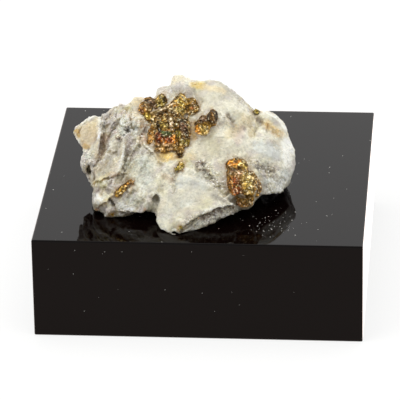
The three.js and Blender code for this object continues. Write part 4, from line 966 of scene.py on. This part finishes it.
ores = {
    "chalcopyrite_main_cluster": {
        "piece": "mainCluster", "slot": "tarnished_chalcopyrite", "voxel": 0.11 * mm, "ground": "brown",
        "faces": [(1.1 * mm, 0.7), (0.45 * mm, 0.6)],
        "relief": [
            (-0.4, 0.35, [(-8.8, 16.8), (-6, 18), (-4.3, 19.5)]),
            (0.3, 0.35, [(-9, 16.2), (-5.9, 17.4), (-5, 18.2)]),
            (-0.1, 0.3, [(-8.3, 16), (-6.2, 16.5), (-4, 15.8)]),
            (-0.4, 0.4, [(-8.2, 14.4), (-7.6, 13.4)]),
            (0.4, 0.5, [(-5.5, 15.3), (-5.3, 13.8)]),
            (-0.3, 0.3, [(-4.7, 15.6), (-4.7, 13.4), (-4.1, 12)]),
            (-0.3, 0.4, [(-4.3, 11.6), (-4.2, 9.6)]),
            (-0.3, 0.3, [(-2.5, 19), (-2.3, 16.8)]),
            (-0.3, 0.4, [(-7.5, 13.3), (-5.4, 13.4)]),
        ],
        "marks": [
            # left shoulder
            ("amber", 1.0, 0.9, [(-11, 17.6), (-10.6, 16)]),
            ("plum", 1.0, 1.0, [(-9.4, 18.8), (-8.6, 17.4)]),
            ("rosy", 0.9, 0.4, [(-9.6, 19), (-9.2, 18.8)]),
            ("rosy", 0.6, 0.4, [(-8.8, 17.4), (-8.4, 17)]),
            ("olive", 0.8, 0.6, [(-10.4, 15.9), (-9.6, 15.7)]),
            ("dark", 0.95, 0.3, [(-11.4, 18.1)]),
            ("dark", 0.9, 0.3, [(-9.9, 18.8)]),
            ("dark", 0.9, 0.28, [(-9, 18.1)]),
            ("red", 0.9, 0.35, [(-11, 16.8), (-10.8, 16.5)]),
            # olive point
            ("olive", 1.0, 1.1, [(-7.4, 19.2), (-7.2, 18)]),
            ("paleGoldGlint", 1.0, 0.35, [(-7.3, 19.6), (-7.2, 19.3)]),
            ("gold", 0.9, 0.45, [(-7.9, 19)]),
            ("dark", 0.85, 0.3, [(-6.6, 19.4), (-6.8, 18.4)]),
            ("sage", 0.9, 0.35, [(-7.2, 17.8), (-6.6, 17.9)]),
            # peak
            ("gold", 1.0, 1.2, [(-4.2, 18.6), (-3, 18.6)]),
            ("olive", 0.9, 0.5, [(-4, 18.2), (-3.4, 18)]),
            ("amber", 0.9, 0.5, [(-5, 18), (-4.4, 17.7)]),
            ("slate", 0.9, 0.35, [(-4.5, 19.3), (-4, 19.6)]),
            ("paleGoldGlint", 1.0, 0.3, [(-3.6, 19.7)]),
            ("paleGoldGlint", 1.0, 0.35, [(-2.9, 19.1), (-2.7, 18.8)]),
            ("paleGoldGlint", 0.9, 0.25, [(-4.9, 18.2)]),
            ("dark", 0.95, 0.28, [(-3.2, 19.3)]),
            ("dark", 0.9, 0.25, [(-3.9, 18.9)]),
            ("dark", 0.8, 0.25, [(-4.7, 17.3)]),
            ("sage", 1.0, 0.6, [(-4.3, 17), (-3.2, 16.9)]),
            ("beige", 0.8, 0.6, [(-3, 16.2), (-2.2, 15.8)]),
            # right shoulder
            ("brown", 1.0, 1.1, [(-1.4, 17.8)]),
            ("rosy", 0.9, 0.4, [(-1.2, 18), (-1, 17.6)]),
            ("red", 0.7, 0.35, [(-1.5, 17.3)]),
            ("dark", 0.9, 0.3, [(-2.4, 17.5)]),
            ("dark", 0.8, 0.25, [(-1.6, 16.3)]),
            ("slate", 0.6, 0.3, [(-0.5, 17.6)]),
            # top block with its pale ridge and dark cracks
            ("umber", 0.8, 0.9, [(-7.8, 15.7), (-5.4, 15.9)]),
            ("umber", 0.8, 0.4, [(-8, 16), (-7.2, 15.4)]),
            ("umber", 0.8, 0.4, [(-6.2, 16.3), (-5.4, 16.6), (-4.6, 16.1)]),
            ("paleGoldGlint", 0.6, 0.25, [(-7, 15.8), (-6.6, 15.2)]),
            ("paleGoldGlint", 0.6, 0.22, [(-5.7, 16.1)]),
            ("cream", 1.0, 0.3, [(-9, 16.2), (-7.4, 16.9), (-5.9, 17.4), (-5, 18.2)]),
            ("beige", 0.9, 0.28, [(-5.8, 17.4), (-4.2, 16.5)]),
            ("dark", 0.95, 0.25, [(-8.8, 16.8), (-6, 18), (-4.3, 19.5)]),
            ("dark", 0.5, 0.2, [(-7.4, 16.3), (-5.8, 16.7), (-4.2, 15.9)]),
            ("beige", 0.9, 0.4, [(-8.8, 15.4), (-8.7, 14)]),
            ("dark", 1.1, 0.4, [(-8, 14.6), (-7.9, 14)]),
            ("sage", 0.9, 0.6, [(-7.2, 14.2), (-6.4, 14)]),
            ("dark", 1.1, 0.4, [(-7.7, 13.4), (-7.4, 12.8)]),
            ("dark", 0.7, 0.75, [(-5.7, 15.2), (-5.5, 13.8)]),
            ("cream", 1.2, 0.5, [(-5.5, 15.2), (-5.3, 13.7)]),
            # low block: teal over orange and red, pinkish brown below
            ("teal", 1.1, 0.9, [(-6.8, 12.8), (-6, 12.3)]),
            ("orange", 0.9, 0.3, [(-6.6, 13.2), (-6, 13.2)]),
            ("slate", 0.7, 0.35, [(-5.8, 12.2)]),
            ("red", 1.0, 0.7, [(-8, 12.4), (-7.8, 11.2)]),
            ("red", 1.0, 0.7, [(-7.6, 11.2), (-5.4, 11.3)]),
            ("orange", 0.6, 0.3, [(-7.2, 11.1), (-6.6, 10.9)]),
            ("orange", 1.0, 0.45, [(-4.9, 12), (-4.6, 10.8)]),
            ("dark", 0.6, 0.3, [(-8.2, 12), (-8.1, 11.4)]),
            ("dark", 0.6, 0.25, [(-5.7, 11.4)]),
            ("rosy", 0.9, 0.7, [(-8.8, 10), (-5.6, 9.9)]),
            ("brown", 0.8, 0.5, [(-7.4, 10), (-6.4, 9.6)]),
            ("paleGoldGlint", 0.9, 0.3, [(-9.1, 10.2)]),
            ("paleGoldGlint", 0.8, 0.25, [(-8.9, 9.6)]),
            ("dark", 0.9, 0.28, [(-8.1, 10.1)]),
            ("dark", 0.9, 0.28, [(-8.4, 9.3)]),
            # left strip
            ("amber", 1.0, 0.7, [(-9.3, 13.4), (-9.3, 11)]),
            ("rosy", 0.7, 0.3, [(-10, 12.4), (-9.9, 11.4)]),
            # right column
            ("umber", 1.0, 1.2, [(-3.2, 15), (-2.8, 11.8)]),
            ("plum", 0.8, 0.9, [(-3.3, 14.8), (-2.9, 13.2)]),
            ("slate", 0.8, 0.5, [(-4, 15.1), (-3, 15)]),
            ("plum", 1.0, 0.8, [(-3.6, 13.8), (-2.7, 13)]),
            ("dark", 0.9, 0.35, [(-3.5, 14.7)]),
            ("dark", 0.6, 0.5, [(-2.7, 12.4), (-2.4, 11.8)]),
            ("beige", 0.7, 0.2, [(-4.5, 14.3), (-4, 14.2)]),
            ("olive", 1.0, 0.5, [(-4.2, 12.9), (-3.9, 12.2)]),
            ("olive", 1.0, 0.6, [(-3.6, 10.9), (-2.3, 10.8)]),
            ("beige", 0.7, 0.3, [(-2.1, 15.2), (-2, 12.4)]),
            ("amber", 0.8, 0.3, [(-1.8, 13.2), (-1.8, 12.2)]),
            # tail
            ("brown", 1.0, 0.6, [(-3.9, 9.8), (-3.8, 8.8)]),
            ("dark", 1.0, 0.4, [(-3.85, 8.5)]),
        ],
    },
    "chalcopyrite_middle_pair": {
        "piece": "middlePair", "slot": "dark_chalcopyrite", "voxel": 0.1 * mm, "ground": "umber",
        "faces": [(0.8 * mm, 0.5), (0.35 * mm, 0.5)],
        "relief": [(0.25, 0.3, [(2.2, 16.6), (2.4, 14.8)]), (-0.3, 0.35, [(0, 14.8), (1.8, 14.2)])],
        "marks": [
            ("dark", 0.45, 1.1, [(2.6, 16.4), (2.4, 14.8)]),
            ("plum", 0.8, 0.6, [(0.2, 15), (1.2, 15.2)]),
            ("amber", 0.8, 0.35, [(2.3, 16.2), (2.4, 15)]),
            ("dark", 0.9, 0.4, [(1.5, 15.9), (1.7, 14.8)]),
            ("dark", 0.8, 0.3, [(3, 16.4), (3.1, 15)]),
            ("brown", 0.9, 0.4, [(2.4, 14.2)]),
            ("gold", 1.3, 1.5, [(0.4, 13.4), (0.8, 13.2)]),
            ("paleGoldGlint", 0.6, 1.0, [(0.4, 13.3), (0.8, 13)]),
            ("orange", 0.8, 0.6, [(-0.6, 13.6), (-0.4, 12.9)]),
            ("rosy", 0.8, 0.3, [(-0.6, 14.4)]),
            ("paleGoldGlint", 1.0, 0.35, [(0.9, 13.6), (1, 13)]),
            ("paleGoldGlint", 0.9, 0.25, [(0.2, 13.9)]),
            ("dark", 0.9, 0.28, [(-0.1, 14.4)]),
            ("dark", 0.9, 0.25, [(0.6, 12.4)]),
            ("umber", 0.8, 0.25, [(1.4, 13.8), (1.5, 12.8)]),
        ],
    },
    "chalcopyrite_right_cluster": {
        "piece": "rightCluster", "slot": "tarnished_chalcopyrite", "voxel": 0.11 * mm, "ground": "brown",
        "faces": [(1.0 * mm, 0.6), (0.4 * mm, 0.6)],
        "relief": [(-0.3, 0.35, [(5, 5.8), (7.6, 5.9), (8.4, 6.2)]), (-0.3, 0.35, [(7.7, 4.6), (7.6, 1)]),
                   (-0.3, 0.35, [(6.8, 0.7), (9.8, 0.6)])],
        "marks": [
            ("umber", 0.9, 0.3, [(5, 6.2), (5.2, 7.2), (6, 7.8), (7.4, 8)]),
            ("orange", 1.0, 0.75, [(5.8, 6.9), (7.2, 7)]),
            ("paleGoldGlint", 0.9, 0.3, [(7.6, 7), (7.4, 6.6)]),
            ("sage", 0.9, 0.5, [(8.2, 7.1), (8.5, 6.3)]),
            ("rosy", 0.9, 0.8, [(5.8, 5.4), (7.6, 5.2)]),
            ("plum", 0.8, 0.4, [(6, 5.6), (7.4, 5.8)]),
            ("dark", 0.7, 0.25, [(5.5, 5.9)]),
            ("sage", 0.85, 1.2, [(9, 4.4), (9.2, 2.2)]),
            ("beige", 0.7, 0.6, [(8.4, 4.6), (9.6, 4)]),
            ("gold", 0.8, 0.4, [(8.2, 3.4), (8.6, 2.4)]),
            ("beige", 0.6, 0.4, [(9.6, 2.6), (9, 1.4)]),
            ("red", 0.85, 1.3, [(6.3, 3.6), (6.8, 1.8)]),
            ("amber", 0.8, 0.4, [(5.8, 3.6), (6, 2.6)]),
            ("paleGoldGlint", 0.8, 0.22, [(6.9, 2.6)]),
            ("dark", 0.7, 0.25, [(6.5, 3)]),
            ("umber", 0.9, 0.6, [(11, 3.2), (10.8, 1.6)]),
            ("dark", 0.9, 0.25, [(10.6, 2.6)]),
            ("umber", 0.9, 1.1, [(6.8, -0.4), (7.8, -1.4), (9.2, -0.8)]),
            ("red", 0.6, 0.7, [(6.4, 0.4), (7, -0.8)]),
            ("amber", 0.8, 0.35, [(7, -0.2), (7.4, 0.2)]),
            ("dark", 0.9, 0.3, [(8.2, -1)]),
            ("paleGoldGlint", 0.7, 0.22, [(9, -0.3)]),
        ],
    },
    "chalcopyrite_left_seam": {
        "piece": "leftSeam", "slot": "brassy_chalcopyrite", "voxel": 0.09 * mm, "ground": "brown",
        "faces": [(0.6 * mm, 0.6), (0.3 * mm, 0.5)],
        "relief": [],
        "marks": [
            ("gold", 0.9, 0.8, [(-15.4, 1.2), (-14.4, 2.2)]),
            ("paleGoldGlint", 0.9, 0.25, [(-15, 1.2)]),
            ("umber", 0.9, 0.3, [(-15.6, 1.9), (-14.6, 2.8)]),
            ("dark", 0.8, 0.22, [(-14.6, 1.5)]),
            ("amber", 0.9, 0.6, [(-13.8, 2.8), (-12.6, 3.5)]),
        ],
    },
    "chalcopyrite_grain_below": {
        "piece": "grainBelow", "slot": "brassy_chalcopyrite", "voxel": 0.08 * mm, "ground": "olive",
        "faces": [(0.5 * mm, 0.6)],
        "relief": [],
        "marks": [("gold", 0.9, 0.5, [(-3.6, 6.8)]), ("paleGoldGlint", 0.9, 0.22, [(-3.4, 7)])],
    },
}

# small grains, which need no more than their facets and one colour
for node, piece, ground in (("chalcopyrite_edge_grain", "edgeGrain", "olive"),
                            ("chalcopyrite_foot_grain", "footGrain", "olive"),
                            ("chalcopyrite_left_grain", "leftGrain", "gold")):
    ores[node] = {"piece": piece, "slot": "brassy_chalcopyrite", "voxel": 0.08 * mm, "ground": ground,
                  "faces": [(0.5 * mm, 0.5)], "relief": [], "marks": []}


def oreMaterial():
    material, tree, shader, coords = newMaterial("tarnishedOre")
    tint = addNode(tree, "Attribute", attribute_name="tarnishAndGlints").outputs["Color"]
    shade, tilt = addFacets(tree, coords, oreFinish["grain"])
    fineShade, fineTilt = addFacets(tree, coords, oreFinish["fineGrain"])
    # painted light on the facets: grains are darkened and brightened, and the brightest are mixed towards
    # the glint colour as painted glints
    both = addMath(tree, "MULTIPLY", addMath(tree, "MULTIPLY", shade, fineShade), 1.25)
    light = mixColour(tree, both, oreFinish["darkFacet"], oreFinish["brightFacet"])
    grained = addNode(tree, "VectorMath", {0: tint, 1: light}, operation="MULTIPLY")
    spark = addNode(tree, "MapRange", {"Value": both, "From Min": 0.5, "From Max": 1.1,
                                       "To Max": oreFinish["mostGlint"]})
    lit = mixColour(tree, spark.outputs[0], grained.outputs[0], oreFinish["glint"])
    tree.links.new(lit, shader.inputs["Base Color"])
    rough = addNode(tree, "MapRange", {"Value": shade, "To Min": 0.6, "To Max": 0.25})
    tree.links.new(rough.outputs[0], shader.inputs["Roughness"])
    coarse = addNode(tree, "Bump", {"Height": tilt, "Strength": oreFinish["relief"], "Distance": 1.0})
    fine = addNode(tree, "Bump", {"Height": fineTilt, "Strength": oreFinish["relief"], "Distance": 1.0,
                                  "Normal": coarse.outputs[0]})
    tree.links.new(fine.outputs[0], shader.inputs["Normal"])
    shader.inputs["Metallic"].default_value = oreFinish["metallic"]
    shader.inputs["Specular IOR Level"].default_value = oreFinish["specular"]
    return material


def closedOre(node, voxel):  # the CAD crystals with the gaps between them filled
    bm = bmesh.new()
    addSolid(bm, node, oreSwell + oreClosing)
    swollen = voxelMesh(bm, voxel * oreCoarser)
    writePoints(swollen, readPoints(swollen) - readNormals(swollen) * oreClosing)
    bm = bmesh.new()
    bm.from_mesh(swollen)
    bpy.data.meshes.remove(swollen)
    return voxelMesh(bm, voxel)


def makeOre(node, ore, material):
    mesh = closedOre(node, ore["voxel"])
    points = readPoints(mesh)
    normals = readNormals(mesh)
    strokes = Strokes(points, mesh)
    waver = noiseOf(points, 0.5 * mm, 24) * 0.3
    points = carve(points, normals, strokes, ore["relief"], waver)
    lift = np.zeros(len(points))
    for seed, (size, slope) in enumerate(ore["faces"]):
        faces = facetsOf(points, size, seed + 5, slope)
        lift += (faces - faces.mean()) * oreLift
    points = points + normals * lift[:, None]
    writePoints(mesh, points)
    colours = np.array([linear(oreTints[ore["ground"]])] * len(points))
    grain = grainsOf(points, 0.42 * mm, 22)
    speck = grainsOf(points, 0.3 * mm, 23)
    paint(colours, strokes, ore["marks"], oreTints, raggedOf(points, 21) * 0.4, 0.9 + 0.2 * grain)
    # painted light: each grain is lit a little differently, pits get painted shade and sparks painted
    # glints
    light = oreShade["low"] + oreShade["span"] * grain
    light = np.where(speck < oreShade["pitsBelow"], light * oreShade["pit"], light)
    light = np.where(speck > oreShade["sparksAbove"], light * oreShade["spark"], light)
    storeTint(mesh, "tarnishAndGlints", colours * light[:, None] ** oreShade["warmth"])
    mesh.materials.append(material)
    newPiece(ore["piece"], mesh, ore["slot"], node)
    print(ore["piece"], "triangles", sum(len(face.vertices) - 2 for face in mesh.polygons))


def makeOres():
    material = oreMaterial()
    for node, ore in ores.items():
        makeOre(node, ore, material)


makeOres()
print("ore made")


# The studio: a white floor, a white room and soft lamps

studio = {
    "room": 1.15,
    "mirrored": 2.15,
    "horizon": 0.12,
    "zenith": 0.75,
    "wallsEnd": 0.5,
    "ceilingStarts": 0.65,
    "floorSize": 8.0,
    "floorColour": (0.25, 0.25, 0.245),
    "floorGlow": 0.76,
    "floorMirrored": 2.2,
    "floorMirroredTint": (1, 0.86, 0.8),
    "lamps": {
        "leftSoftbox": {"place": (-0.7, -0.4, 0.8), "size": 0.8, "power": 4.0},
        "rightFill": {"place": (0.8, -0.5, 0.4), "size": 0.6, "power": 1.1},
        "topSoftbox": {"place": (0.15, 0.2, 1.1), "size": 1.4, "power": 8.2},
    },
}


def addFloor():
    bm = bmesh.new()
    bmesh.ops.create_grid(bm, x_segments=1, y_segments=1, size=studio["floorSize"] / 2)
    mesh = bpy.data.meshes.new("floor")
    bm.to_mesh(mesh)
    bm.free()
    floor = bpy.data.objects.new("floor", mesh)
    bpy.context.collection.objects.link(floor)
    material, tree, shader = newMaterial("whiteFloor")[:3]
    shader.inputs["Base Color"].default_value = (*studio["floorColour"], 1)
    shader.inputs["Roughness"].default_value = 1.0
    shader.inputs["Specular IOR Level"].default_value = 0.0
    path = tree.nodes.new("ShaderNodeLightPath")
    warmth = mixColour(tree, path.outputs["Is Glossy Ray"], (1, 1, 1, 1), (*studio["floorMirroredTint"], 1))
    tree.links.new(warmth, shader.inputs["Emission Color"])
    shiny = mixValue(tree, path.outputs["Is Glossy Ray"], studio["floorGlow"], studio["floorMirrored"])
    glow = mixValue(tree, path.outputs["Is Diffuse Ray"], shiny, 0.0)
    tree.links.new(glow, shader.inputs["Emission Strength"])
    mesh.materials.append(material)


def addLamp(name, lamp):
    data = bpy.data.lights.new(name, "AREA")
    data.shape = "SQUARE"
    data.size = lamp["size"]
    data.energy = lamp["power"]
    thing = bpy.data.objects.new(name, data)
    thing.location = lamp["place"]
    thing.rotation_euler = Vector(lamp["place"]).to_track_quat("Z", "Y").to_euler()
    bpy.context.collection.objects.link(thing)


def lightRoom():  # the room looks white and mirrors white, but lights matt surfaces less, so the lamps tell
    world = bpy.data.worlds.new("whiteRoom")
    world.use_nodes = True
    world.cycles.sampling_method = "NONE"
    tree = world.node_tree
    path = tree.nodes.new("ShaderNodeLightPath")
    ways = addNode(tree, "SeparateXYZ", {0: tree.nodes.new("ShaderNodeTexCoord").outputs["Generated"]})
    matt = addNode(tree, "MapRange", {"Value": ways.outputs["Z"], "To Min": studio["horizon"],
                                      "To Max": studio["zenith"]})
    low = addNode(tree, "MapRange", {"Value": ways.outputs["Z"], "From Min": studio["wallsEnd"],
                                     "From Max": studio["ceilingStarts"], "To Min": studio["mirrored"],
                                     "To Max": studio["room"]})
    shiny = mixValue(tree, path.outputs["Is Glossy Ray"], studio["room"], low.outputs[0])
    strength = mixValue(tree, path.outputs["Is Diffuse Ray"], shiny, matt.outputs[0])
    tree.links.new(strength, tree.nodes["Background"].inputs["Strength"])
    tree.nodes["Background"].inputs["Color"].default_value = (1, 1, 1, 1)
    bpy.context.scene.world = world
    for name, lamp in studio["lamps"].items():
        addLamp(name, lamp)
    bpy.context.scene.view_settings.view_transform = "Standard"


addFloor()
lightRoom()
print("studio lit")
